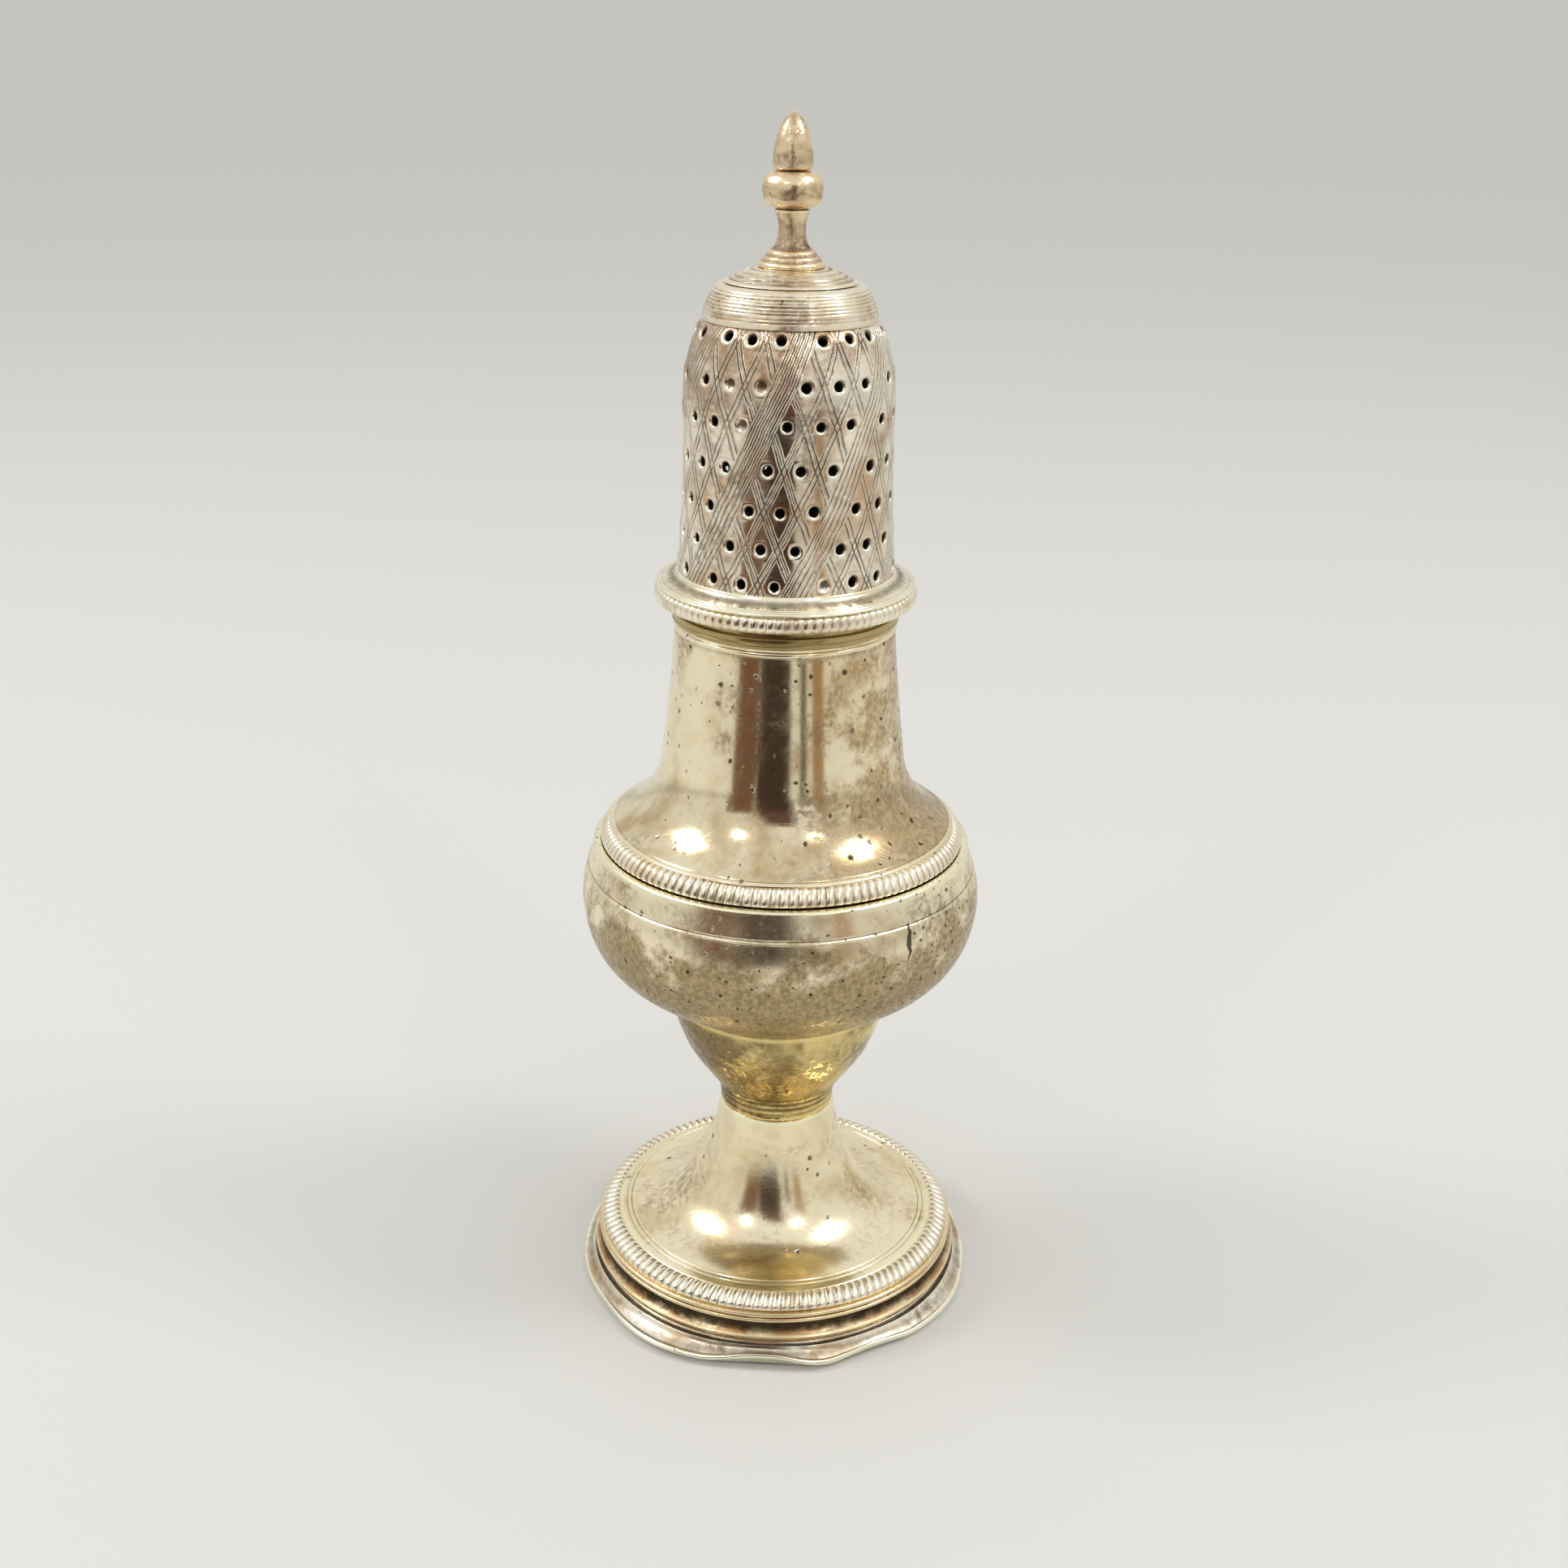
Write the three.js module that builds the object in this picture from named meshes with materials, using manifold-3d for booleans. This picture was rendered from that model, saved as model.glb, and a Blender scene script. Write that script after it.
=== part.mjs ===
// A silver pepper pot of the late 1700s: a vase-shaped body on a hollow trumpet foot,
// and a tall pierced cover that pulls off. Millimetres, +Z up. The origin is the middle
// of the ring that the foot stands on, and the front of the pot faces -Y.
import * as THREE from 'three';
import { mergeVertices } from 'three/addons/utils/BufferGeometryUtils.js';
import Module from 'manifold-3d';

const wasm = await Module();
wasm.setup();

// Metal and clearances
const SHEET = 0.7; // wall of every raised or spun piece
const SOLDER_GAP = 0.3; // between two pieces that are soldered together
const SLIDE_FIT = 0.3; // around the bezel in the neck, and under the cover at rest
const WIRE_D = 1.8; // thickness of the three beaded wires

// Foot
const RIM_R = 24.6; // outer edge of the foot's flat rim, before its bends
const RIM_H = 2.6; // table to the top of the rim, where the wall stands on it
const RIM_LEDGE = 1.7; // how far the rim reaches beyond the wall
const RIM_LAND = 0.9; // width of the worn ring that touches the table
const RIM_EDGE = 1.1; // height of the rim's outer edge
const RIM_WEAR = 0.5; // how far that edge is rounded off
const WALL_H = 3.3; // height of the hollow-curved wall
const WALL_HOLLOW = 0.8; // how far its top is set in from its foot
const REED = 0.35; // how far each of the two reeds on the wall stands out
const REED_W = 0.6; // width of a reed
const PLATE_DROP = 0.2; // the trumpet's outer band lies this much below the wire's top
const PLATE_BAND = 1.6; // width of that band
const GROOVE_STEP = 0.3; // rise from the band to the trumpet's own surface
const PLATE_FLAT = 0.8; // flat stretch before the surface starts to climb
const TRUMPET_H = 14.8; // from that surface up to the stem's waist
const STEM_R = 6.95; // waist, the narrowest place under the body

// Body
const CALYX_H = 14.6; // inverted bell between the waist and the bowl
const CALYX_R = 13.1; // its upper edge, under the bowl
const THROAT_R = 8.1; // calyx where it starts to open out
const THROAT_H = 3.7;
const HIP_R = 11.7; // calyx where it turns upright again
const HIP_H = 9.5;
const BOWL_H = 20.5; // underside of the bowl to its upper edge
const BOWL_R = 23.6; // widest place of the body
const BOWL_WIDEST = 13.6; // height of the widest place above the bowl's underside
const BOWL_CLOSE = 1.45; // how far the bowl's upper edge is drawn in
const BOWL_LEDGE = 0.75; // ledge of the bowl outside the girdle's wire
const SHOULDER_LIP = 0.8; // how far the shoulder's edge laps over the girdle's wire
const SHOULDER_H = 7.8; // height of the hollow-curved shoulder
const SKIRT = 1.6; // how deep the neck's skirt reaches into the bowl
const NECK_H = 24.2; // shoulder's edge up to the top of the neck
const NECK_R = 12.56; // neck just under its band
const NECK_TAPER = 1.54; // how much wider the neck is where the shoulder meets it
const BAND_PROUD = 0.3; // how far the rim band stands out from the neck
const BAND_H = 1.6;

// Cover
const BEZEL_DROP = 9.2; // how deep the bezel reaches below the flange
const FLANGE_H = 3.6; // underside of the flange to its upper edge
const FLANGE_WALL = 0.9; // upright part of the flange, behind the wire
const FLANGE_LIP = 0.6; // how far the flange's lip reaches over the middle of the wire
const FLANGE_HOLLOW = 0.9; // height of the hollow curve above the flange's lip
const SLEEVE_SET = 0.5; // sleeve's foot is set in from the flange's top
const SLEEVE_H = 27.2; // height of the pierced sleeve
const SLEEVE_TAPER = 0.75; // how much slimmer the sleeve is at its waist
const SLEEVE_WAIST_H = 16.2;
const SLEEVE_TOP_R = 10.15; // sleeve at the bend under the reeded dome
const SLEEVE_BEND = 0.9; // height of that bend
const DOME_SET = 0.75; // reeded dome is set in from the sleeve's top
const DOME_H = 3.3;
const DOME_TOP_R = 7.5; // reeded dome at its upper edge
const DOME_REEDS = 3;
const DOME_GROOVE = 0.12; // depth of the grooves between them
const CAP_SET = 0.2; // stepped cap is set in from the dome's upper edge
const CAP_H = 1.4;
const CAP_TOP_R = 5.0;
const CAP_STEPS = 3;

// Holes of the pierced sleeve
const HOLE_D = 1.0;
const HOLE_SIDES = 5;
const HOLE_GROUPS = 6; // groups of holes round the sleeve in each row
const HOLES_IN_GROUP = 3;
const HOLE_STEP = 17.6; // degrees between the holes of a group
const HOLE_START = -23.3; // degrees from the front to a group's middle in the lowest row
const HOLE_TWIST = 10.1; // degrees that each row is turned against the row below it
const HOLE_LOWEST = 1.0; // lowest row above the sleeve's foot
const HOLE_HIGHEST = 0.8; // highest row below the sleeve's top
const HOLE_ROWS = [0, 0.15, 0.31, 0.48, 0.66, 0.82, 1]; // hand-spaced between those two

// Finial
const TANG_R = 0.8; // pin of the finial, soldered in the cap
const TANG_L = 2.6;
const STEM_RING_R = 3.6; // lower ring of the finial's stem
const STEM_RING_H = 0.9;
const STEM_BEAD_R = 2.7; // upper ring
const STEM_BEAD_H = 0.8;
const STEM_FLARE = 0.5; // height of the curve down to the upper ring
const FINIAL_WAIST_R = 1.45;
const FINIAL_NECK_R = 1.9; // stem where the acorn's cup sits
const FINIAL_STEM_H = 5.6;
const CUP_R = 3.3; // acorn's cup
const CUP_GROOVE = 0.2; // depth of the groove round its middle
const CUP_H = 3.6;
const CUP_NECK_R = 2.3; // cup at its ends
const NUT_SET = 0.15; // acorn's nut is set in from the cup's end
const NUT_H = 5.8;

// Bends of the foot's rim, by degrees from the front, with +X to the right:
// the middle, the half width, how far the edge stands out and how far it is lifted
const RIM_BENDS = [
  { at: -34, half: 28, out: 1.0, lift: 0.2 },
  { at: -3, half: 19, out: -0.2, lift: 1.2 },
  { at: 12, half: 11, out: 0.3, lift: 0 },
  { at: 30, half: 15, out: -0.4, lift: 0.4 },
  { at: 60, half: 26, out: 0.4, lift: 0 },
  { at: 118, half: 24, out: 0.4, lift: 0.3 },
  { at: 164, half: 20, out: -0.3, lift: 0.5 },
  { at: -150, half: 26, out: 0.3, lift: 0 },
  { at: -104, half: 18, out: -0.2, lift: 0.4 },
];

// Roundness
const ROUND = 36; // flats round a large piece
const RIM_ROUND = 60; // flats round the bent rim
const FINE_ROUND = 24; // flats round the finial
const WIRE_SIDES = 6;

// Heights worked out from the sizes above, from the table up
const wireR = WIRE_D / 2;
const wallZ = RIM_H + SOLDER_GAP;
const wallTopZ = wallZ + WALL_H;
const footWireZ = wallTopZ + SOLDER_GAP + wireR;
const plateZ = footWireZ + wireR - PLATE_DROP;
const waistZ = plateZ + GROOVE_STEP + TRUMPET_H;
const calyxZ = waistZ + SOLDER_GAP;
const bowlZ = calyxZ + CALYX_H + SOLDER_GAP;
const bowlEdgeZ = bowlZ + BOWL_H;
const girdleWireZ = bowlEdgeZ + SOLDER_GAP + wireR;
const shoulderZ = girdleWireZ + wireR + SOLDER_GAP;
const neckTopZ = shoulderZ + NECK_H;
const bandZ = neckTopZ + SOLDER_GAP;
const flangeZ = bandZ + BAND_H + SLIDE_FIT;
const coverWireZ = flangeZ + SOLDER_GAP + wireR;
const sleeveZ = flangeZ + FLANGE_H + SOLDER_GAP;
const domeZ = sleeveZ + SLEEVE_H + SOLDER_GAP;
const capZ = domeZ + DOME_H + SOLDER_GAP;
const finialZ = capZ + CAP_H + SOLDER_GAP;
const cupZ = finialZ + FINIAL_STEM_H + SOLDER_GAP;
const nutZ = cupZ + CUP_H + SOLDER_GAP;

// Radii that follow from a neighbour
const wallR = RIM_R - RIM_LEDGE;
const wallTopR = wallR - WALL_HOLLOW;
const footWireR = wallTopR - wireR;
const plateR = footWireR - wireR - SOLDER_GAP;
const bowlEdgeR = BOWL_R - BOWL_CLOSE;
const girdleWireR = bowlEdgeR - BOWL_LEDGE - wireR;
const skirtR = girdleWireR - wireR - SOLDER_GAP;
const neckBore = NECK_R - SHEET;
const bandR = NECK_R + BAND_PROUD;
const bezelR = neckBore - SLIDE_FIT;
const flangeBore = bezelR + SOLDER_GAP;
const flangeR = flangeBore + FLANGE_WALL;
const coverWireR = flangeR + SOLDER_GAP + wireR;
const sleeveFootR = flangeR - SLEEVE_SET;
const sleeveWaistR = sleeveFootR - SLEEVE_TAPER;
const domeR = SLEEVE_TOP_R - DOME_SET;
const domeBore = DOME_TOP_R - SHEET;
const capR = DOME_TOP_R - CAP_SET;
const nutR = CUP_NECK_R - NUT_SET;

const { lerp, degToRad, radToDeg } = THREE.MathUtils;

// Keeps only the positions, welds equal corners and drops faces without area.
function weld(geometry) {
  const bare = geometry.clone();
  bare.deleteAttribute('normal');
  bare.deleteAttribute('uv');
  const merged = mergeVertices(bare, 1e-4);
  const index = merged.getIndex().array;
  const kept = [];
  for (let i = 0; i < index.length; i += 3) {
    const [a, b, c] = [index[i], index[i + 1], index[i + 2]];
    if (a !== b && b !== c && c !== a) kept.push(a, b, c);
  }
  merged.setIndex(kept);
  return merged;
}

// Turns a closed outline (radius, height), listed counter-clockwise, round the Z axis.
function turned(outline, sides) {
  const points = outline.map(([radius, height]) => new THREE.Vector2(radius, height));
  const closed = points[0].x > 0 ? [...points, points[0].clone()] : points;
  return weld(new THREE.LatheGeometry(closed, sides).rotateX(Math.PI / 2));
}

// Points of a curve between two places (radius, height). It leaves towards the first pull
// and arrives from the second, both given as shares of the way across and up.
function curve(from, pullA, pullB, to, steps) {
  const place = ([across, up]) => [lerp(from[0], to[0], across), lerp(from[1], to[1], up)];
  const ends = [from, place(pullA), place(pullB), to].map(([r, z]) => new THREE.Vector2(r, z));
  return new THREE.CubicBezierCurve(...ends).getPoints(steps).map((p) => [p.x, p.y]);
}

// A wall of even thickness inside an outer line that runs from the bottom up.
function walled(outer, thickness = SHEET) {
  const inner = outer.map(([radius, height], i) => {
    const [r0, z0] = outer[Math.max(i - 1, 0)];
    const [r1, z1] = outer[Math.min(i + 1, outer.length - 1)];
    const run = Math.hypot(r1 - r0, z1 - z0);
    return [radius - (thickness * (z1 - z0)) / run, height + (thickness * (r1 - r0)) / run];
  });
  return [...outer, ...inner.reverse()];
}

// A round wire bent to a ring.
function wireRing(ringR, height) {
  const ring = new THREE.TorusGeometry(ringR, wireR, WIRE_SIDES, ROUND);
  return weld(ring.translate(0, 0, height));
}

// How far the foot's rim stands out and is lifted at an angle from the front.
function rimBend(angle) {
  let [out, lift] = [0, 0];
  for (const bend of RIM_BENDS) {
    const apart = Math.abs(THREE.MathUtils.euclideanModulo(angle - bend.at + 180, 360) - 180);
    if (apart < bend.half) {
      const share = Math.cos(degToRad(90) * (apart / bend.half)) ** 2;
      out += bend.out * share;
      lift += bend.lift * share;
    }
  }
  return { out, lift };
}

function footRim() {
  const bore = wallR - SHEET;
  const rim = turned([
    ...curve([bore, RIM_H - SHEET], [0.6, 0.1], [0.75, 0.7], [RIM_R - RIM_LAND, 0], 4),
    [RIM_R, 0],
    [RIM_R, RIM_EDGE],
    ...curve([RIM_R - RIM_WEAR, RIM_EDGE + RIM_WEAR / 2], [0.5, 0.2], [0.8, 0.6], [wallR, RIM_H], 3),
    [bore, RIM_H],
  ], RIM_ROUND);
  const place = rim.getAttribute('position');
  for (let i = 0; i < place.count; i += 1) {
    const [x, y] = [place.getX(i), place.getY(i)];
    const radius = Math.hypot(x, y);
    const reach = THREE.MathUtils.clamp((radius - wallR) / RIM_LEDGE, 0, 1);
    const { out, lift } = rimBend(radToDeg(Math.atan2(x, -y)));
    const grow = 1 + (out * reach) / radius;
    place.setXYZ(i, x * grow, y * grow, place.getZ(i) + lift * reach);
  }
  return rim;
}

function footWall() {
  const reedsZ = wallTopZ - 2 * REED_W;
  const ledgeR = plateR - SHEET;
  const lining = wallTopR - SHEET;
  const reeds = [0, 1].flatMap((reed) => [
    [wallTopR + REED, reedsZ + REED_W * (reed + 0.5)],
    [wallTopR, reedsZ + REED_W * (reed + 1)],
  ]);
  return turned([
    [wallR - SHEET, wallZ],
    [wallR, wallZ],
    ...curve([wallR, lerp(wallZ, reedsZ, 0.15)], [0.75, 0.3], [1, 0.6], [wallTopR, reedsZ], 3),
    ...reeds,
    [ledgeR, wallTopZ],
    [ledgeR, wallTopZ - SHEET],
    [lining, wallTopZ - SHEET],
    [lining, lerp(wallZ, reedsZ, 0.6)],
  ], ROUND);
}

function footTrumpet() {
  const edgeR = plateR - PLATE_BAND;
  const surfaceZ = plateZ + GROOVE_STEP;
  return turned(walled([
    [plateR, wallTopZ + SOLDER_GAP],
    [plateR, plateZ],
    [edgeR, surfaceZ],
    ...curve([edgeR - PLATE_FLAT, surfaceZ], [0.57, 0.03], [0.84, 0.34], [STEM_R, waistZ], 7),
  ]), ROUND);
}

function calyx() {
  const throat = [THROAT_R, calyxZ + THROAT_H];
  const hip = [HIP_R, calyxZ + HIP_H];
  return turned(walled([
    ...curve([STEM_R, calyxZ], [0, 0.43], [0.25, 0.7], throat, 2),
    ...curve(throat, [0.38, 0.33], [0.83, 0.67], hip, 3).slice(1),
    ...curve(hip, [0.45, 0.25], [0.95, 0.65], [CALYX_R, calyxZ + CALYX_H], 2).slice(1),
  ]), ROUND);
}

function bowl() {
  const seat = [CALYX_R, bowlZ];
  const widest = [BOWL_R, bowlZ + BOWL_WIDEST];
  const edge = [bowlEdgeR, bowlEdgeZ - SHEET];
  const ledgeR = skirtR + SOLDER_GAP;
  const outer = [
    ...curve(seat, [0.4, 0.25], [0.97, 0.34], widest, 8),
    ...curve(widest, [0, 0.38], [0.62, 0.6], edge, 3).slice(1),
  ];
  const inner = walled(outer).slice(outer.length);
  const floor = inner[inner.length - 2];
  return turned([
    [0, bowlZ],
    ...outer,
    [bowlEdgeR, bowlEdgeZ],
    [ledgeR, bowlEdgeZ],
    [ledgeR, bowlEdgeZ - SHEET],
    ...inner.slice(0, -1),
    [0, floor[1]],
  ], ROUND);
}

function neck() {
  const root = [NECK_R + NECK_TAPER, shoulderZ + SHOULDER_H];
  return turned(walled([
    [skirtR, bowlEdgeZ - SKIRT],
    [skirtR, shoulderZ - SHEET / 2],
    [skirtR + SHOULDER_LIP, shoulderZ],
    ...curve([skirtR, shoulderZ + SHEET / 2], [0.56, 0.22], [0.9, 0.56], root, 6),
    ...curve(root, [0.4, 0.33], [0.78, 0.66], [NECK_R, neckTopZ], 3).slice(1),
  ]), ROUND);
}

function neckBand() {
  return turned([
    [neckBore, bandZ],
    [bandR, bandZ],
    [bandR, bandZ + BAND_H],
    [neckBore, bandZ + BAND_H],
  ], ROUND);
}

function coverBezel() {
  const top = flangeZ + FLANGE_H - SOLDER_GAP;
  return turned([
    [bezelR - SHEET, flangeZ - BEZEL_DROP],
    [bezelR, flangeZ - BEZEL_DROP],
    [bezelR, top],
    [bezelR - SHEET, top],
  ], ROUND);
}

function coverFlange() {
  const top = flangeZ + FLANGE_H;
  const lipR = coverWireR + FLANGE_LIP;
  const lipZ = coverWireZ + wireR + SOLDER_GAP;
  return turned([
    [flangeBore, flangeZ],
    [flangeR, flangeZ],
    [flangeR, lipZ],
    [lipR, lipZ],
    ...curve([lipR, top - FLANGE_HOLLOW], [0.55, 0.1], [0.95, 0.4], [flangeR, top], 4),
    [flangeBore, top],
  ], ROUND);
}

// The drill for one hole, pointing out from the axis at an angle from the front.
function drill(angle, height) {
  const bit = new THREE.CylinderGeometry(HOLE_D / 2, HOLE_D / 2, sleeveFootR, HOLE_SIDES);
  bit.translate(0, -sleeveFootR, 0);
  bit.rotateZ(degToRad(angle));
  return weld(bit.translate(0, 0, height));
}

function solid(geometry) {
  const vertProperties = new Float32Array(geometry.getAttribute('position').array);
  const triVerts = new Uint32Array(geometry.getIndex().array);
  return new wasm.Manifold(new wasm.Mesh({ numProp: 3, vertProperties, triVerts }));
}

function fromSolid(body) {
  const mesh = body.getMesh();
  const geometry = new THREE.BufferGeometry();
  geometry.setAttribute('position', new THREE.BufferAttribute(mesh.vertProperties, 3));
  geometry.setIndex(new THREE.BufferAttribute(mesh.triVerts, 1));
  return geometry;
}

function piercedSleeve() {
  const top = sleeveZ + SLEEVE_H;
  const waist = [sleeveWaistR, sleeveZ + SLEEVE_WAIST_H];
  const bend = [SLEEVE_TOP_R, top - SLEEVE_BEND];
  const shell = turned(walled([
    ...curve([sleeveFootR, sleeveZ], [0.7, 0.34], [0.85, 0.65], waist, 2),
    ...curve(waist, [-0.12, 0.46], [0, 0.63], bend, 3).slice(1),
    [domeR, top],
  ]), ROUND);
  let body = solid(shell);
  HOLE_ROWS.forEach((place, row) => {
    const height = lerp(sleeveZ + HOLE_LOWEST, top - HOLE_HIGHEST, place);
    for (let group = 0; group < HOLE_GROUPS; group += 1) {
      for (let hole = 0; hole < HOLES_IN_GROUP; hole += 1) {
        const middle = HOLE_START + row * HOLE_TWIST + (group * 360) / HOLE_GROUPS;
        const angle = middle + (hole - (HOLES_IN_GROUP - 1) / 2) * HOLE_STEP;
        body = body.subtract(solid(drill(angle, height)));
      }
    }
  });
  return fromSolid(body);
}

// The reeds follow a quarter round; every third place of its curve is a groove between two.
function reededDome() {
  const steps = DOME_REEDS * 3;
  const round = curve([domeR, domeZ], [0.1, 0.45], [0.45, 0.9], [DOME_TOP_R, domeZ + DOME_H], steps);
  const outer = round.map(([radius, height], i) => {
    const deep = i % 3 === 0 && i > 0 && i < steps ? DOME_GROOVE : 0;
    return [radius - deep, height - deep];
  });
  return turned([
    ...outer,
    [domeBore, domeZ + DOME_H],
    [domeBore, domeZ + DOME_H - SHEET],
    [domeR - SHEET, domeZ],
  ], ROUND);
}

function steppedCap() {
  const bore = TANG_R + SOLDER_GAP;
  const rise = CAP_H / CAP_STEPS;
  const run = (capR - CAP_TOP_R) / CAP_STEPS;
  const outer = [];
  for (let step = 0; step < CAP_STEPS; step += 1) {
    outer.push([capR - run * step, capZ + rise * step]);
    outer.push([capR - run * (step + 0.4), capZ + rise * (step + 0.85)]);
  }
  return turned([
    [bore, capZ],
    ...outer,
    [CAP_TOP_R, capZ + CAP_H],
    [bore, capZ + CAP_H],
  ], ROUND);
}

function finialStem() {
  const ringTop = finialZ + STEM_RING_H;
  const beadTop = ringTop + STEM_BEAD_H;
  const top = finialZ + FINIAL_STEM_H;
  const waist = [FINIAL_WAIST_R, lerp(beadTop, top, 0.55)];
  return turned([
    [0, finialZ - TANG_L],
    [TANG_R, finialZ - TANG_L],
    [TANG_R, finialZ],
    [STEM_RING_R, finialZ],
    [STEM_RING_R, lerp(finialZ, ringTop, 0.45)],
    [lerp(STEM_RING_R, STEM_BEAD_R, 0.55), ringTop],
    [STEM_BEAD_R, lerp(ringTop, beadTop, 0.35)],
    [STEM_BEAD_R, beadTop],
    ...curve([STEM_BEAD_R - STEM_FLARE, beadTop + STEM_FLARE], [1, 0.2], [1, 0.6], waist, 3),
    ...curve(waist, [0, 0.4], [0.6, 0.8], [FINIAL_NECK_R, top], 3).slice(1),
    [0, top],
  ], FINE_ROUND);
}

// The cup bulges below and above the groove round its middle.
function acornCup() {
  const top = [CUP_NECK_R, cupZ + CUP_H];
  const groove = [CUP_R - CUP_GROOVE, cupZ + CUP_H / 2];
  return turned([
    [0, cupZ],
    ...curve([CUP_NECK_R, cupZ], [1.26, 0.3], [1.45, 0.65], groove, 4),
    ...curve(groove, [-0.5, 0.3], [-0.2, 0.8], top, 4).slice(1),
    [0, top[1]],
  ], FINE_ROUND);
}

function acornNut() {
  return turned([
    [0, nutZ],
    ...curve([nutR, nutZ], [0, 0.46], [0.25, 0.81], [0, nutZ + NUT_H], 7),
  ], FINE_ROUND);
}

// Finishes: worn silver, its neutral cover, and the yellower tarnish under the bowl
function finish(color, roughness) {
  return new THREE.MeshStandardMaterial({ color, roughness, metalness: 1 });
}

const bodySilver = () => finish('#c9bfa0', 0.28);
const coverSilver = () => finish('#cfc6b8', 0.32);
const wireSilver = () => finish('#ddd2bd', 0.35);
const warmSilver = () => finish('#b8a25f', 0.25);

function piece(name, geometry, material) {
  const mesh = new THREE.Mesh(geometry, material);
  mesh.name = name;
  return mesh;
}

const body = new THREE.Group();
body.add(
  piece('foot_rim', footRim(), bodySilver()),
  piece('foot_wall', footWall(), bodySilver()),
  piece('foot_bead_wire', wireRing(footWireR, footWireZ), wireSilver()),
  piece('foot_trumpet', footTrumpet(), bodySilver()),
  piece('calyx', calyx(), warmSilver()),
  piece('bowl', bowl(), bodySilver()),
  piece('girdle_bead_wire', wireRing(girdleWireR, girdleWireZ), wireSilver()),
  piece('neck', neck(), bodySilver()),
  piece('neck_band', neckBand(), warmSilver()),
);

const cover = new THREE.Group();
cover.add(
  piece('cover_bezel', coverBezel(), coverSilver()),
  piece('cover_flange', coverFlange(), coverSilver()),
  piece('cover_bead_wire', wireRing(coverWireR, coverWireZ), wireSilver()),
  piece('pierced_sleeve', piercedSleeve(), coverSilver()),
  piece('reeded_dome', reededDome(), coverSilver()),
  piece('stepped_cap', steppedCap(), coverSilver()),
  piece('finial_stem', finialStem(), coverSilver()),
  piece('acorn_cup', acornCup(), coverSilver()),
  piece('acorn_nut', acornNut(), warmSilver()),
);

const pepperPot = new THREE.Group();
pepperPot.add(body, cover);

export default pepperPot;
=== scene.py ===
"""Looks for a silver pepper pot of the late 1700s, on a pale studio floor.

Every shape is a surface worked out with numpy in millimetres: an outline (radius, height) turned
round the upright axis, a ring of beads, or the grid of the pierced sleeve. The places and sizes
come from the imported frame, node by node, and become metres when the mesh is made. Angles run
from the front of the pot (-Y), positive to its right (+X).
"""

import math

import bpy
import numpy as np
from mathutils import Euler, Matrix, Vector


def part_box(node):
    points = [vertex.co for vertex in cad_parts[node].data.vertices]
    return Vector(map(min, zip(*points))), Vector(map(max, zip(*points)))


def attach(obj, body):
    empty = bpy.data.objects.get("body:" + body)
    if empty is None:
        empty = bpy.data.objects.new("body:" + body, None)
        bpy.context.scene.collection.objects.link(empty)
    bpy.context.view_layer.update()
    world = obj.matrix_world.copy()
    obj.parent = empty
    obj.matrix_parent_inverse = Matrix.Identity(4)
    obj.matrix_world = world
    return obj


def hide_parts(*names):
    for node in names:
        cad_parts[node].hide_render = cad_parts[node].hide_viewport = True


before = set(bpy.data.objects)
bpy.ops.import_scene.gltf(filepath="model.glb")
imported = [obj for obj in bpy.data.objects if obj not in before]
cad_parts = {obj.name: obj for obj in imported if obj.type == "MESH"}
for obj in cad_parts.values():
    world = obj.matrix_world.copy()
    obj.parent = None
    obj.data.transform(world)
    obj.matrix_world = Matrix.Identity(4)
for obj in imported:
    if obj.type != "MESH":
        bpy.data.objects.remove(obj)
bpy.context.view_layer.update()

MM = 0.001

# Driving sizes that no node's box gives, in millimetres and degrees
SHEET = 0.7
WIRE_D = 1.8
RIM_LEDGE = 1.7
RIM_EDGE = 1.1
RIM_SPREAD = 0.96  # share of a bend's way out that shows, inside the solid's own
RIM_WAVE = 0.05
RIM_RIPPLE = 0.06
RIM_BENDS = [  # middle, half width, how far out, how far up
    (-34, 28, 1.0, 0.2),
    (-3, 19, -0.2, 1.2),
    (12, 11, 0.3, 0.0),
    (30, 15, -0.4, 0.4),
    (60, 26, 0.4, 0.0),
    (118, 24, 0.4, 0.3),
    (164, 20, -0.3, 0.5),
    (-150, 26, 0.3, 0.0),
    (-104, 18, -0.2, 0.4),
]
LATHE_DEPTH = 0.055  # turning lines of the calyx
LATHE_LINES = 7.5  # radians of their wave to a millimetre
BOWL_LINES = [(3.05, 0.16, 0.13), (3.32, 0.12, -0.05), (3.55, 0.1, 0.03)]  # under edge, half, deep
DOME_LINES = [  # share of the height, depth
    (0.14, 0.05),
    (0.25, 0.04),
    (0.4, 0.08),
    (0.5, 0.05),
    (0.62, 0.1),
    (0.72, 0.06),
    (0.82, 0.1),
    (0.93, 0.07),
]
DOME_LINE_HALF = 0.1
FOOT_BEADS = 126
GIRDLE_BEADS = 130
COVER_BEADS = 93
HOLE_D = 1.0
HOLE_GROUPS = 6
HOLES_IN_GROUP = 3
HOLE_STEP = 17.6
HOLE_START = -23.3
HOLE_TWIST = 10.1
HOLE_LOWEST = 1.0
HOLE_HIGHEST = 0.8
HOLE_ASIDE = 0.5  # how far a hole may be off its place: degrees round, millimetres up
HOLE_OFF = 0.08
HOLE_GROWTH = 0.08
HOLE_ROWS = np.array([0, 0.15, 0.31, 0.48, 0.66, 0.82, 1])
PLUGGED = [(5, 5, 1), (5, 5, 2), (4, 5, 2), (0, 1, 0)]  # row, group, hole in the group
PLUG_DEEP = 0.22
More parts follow.
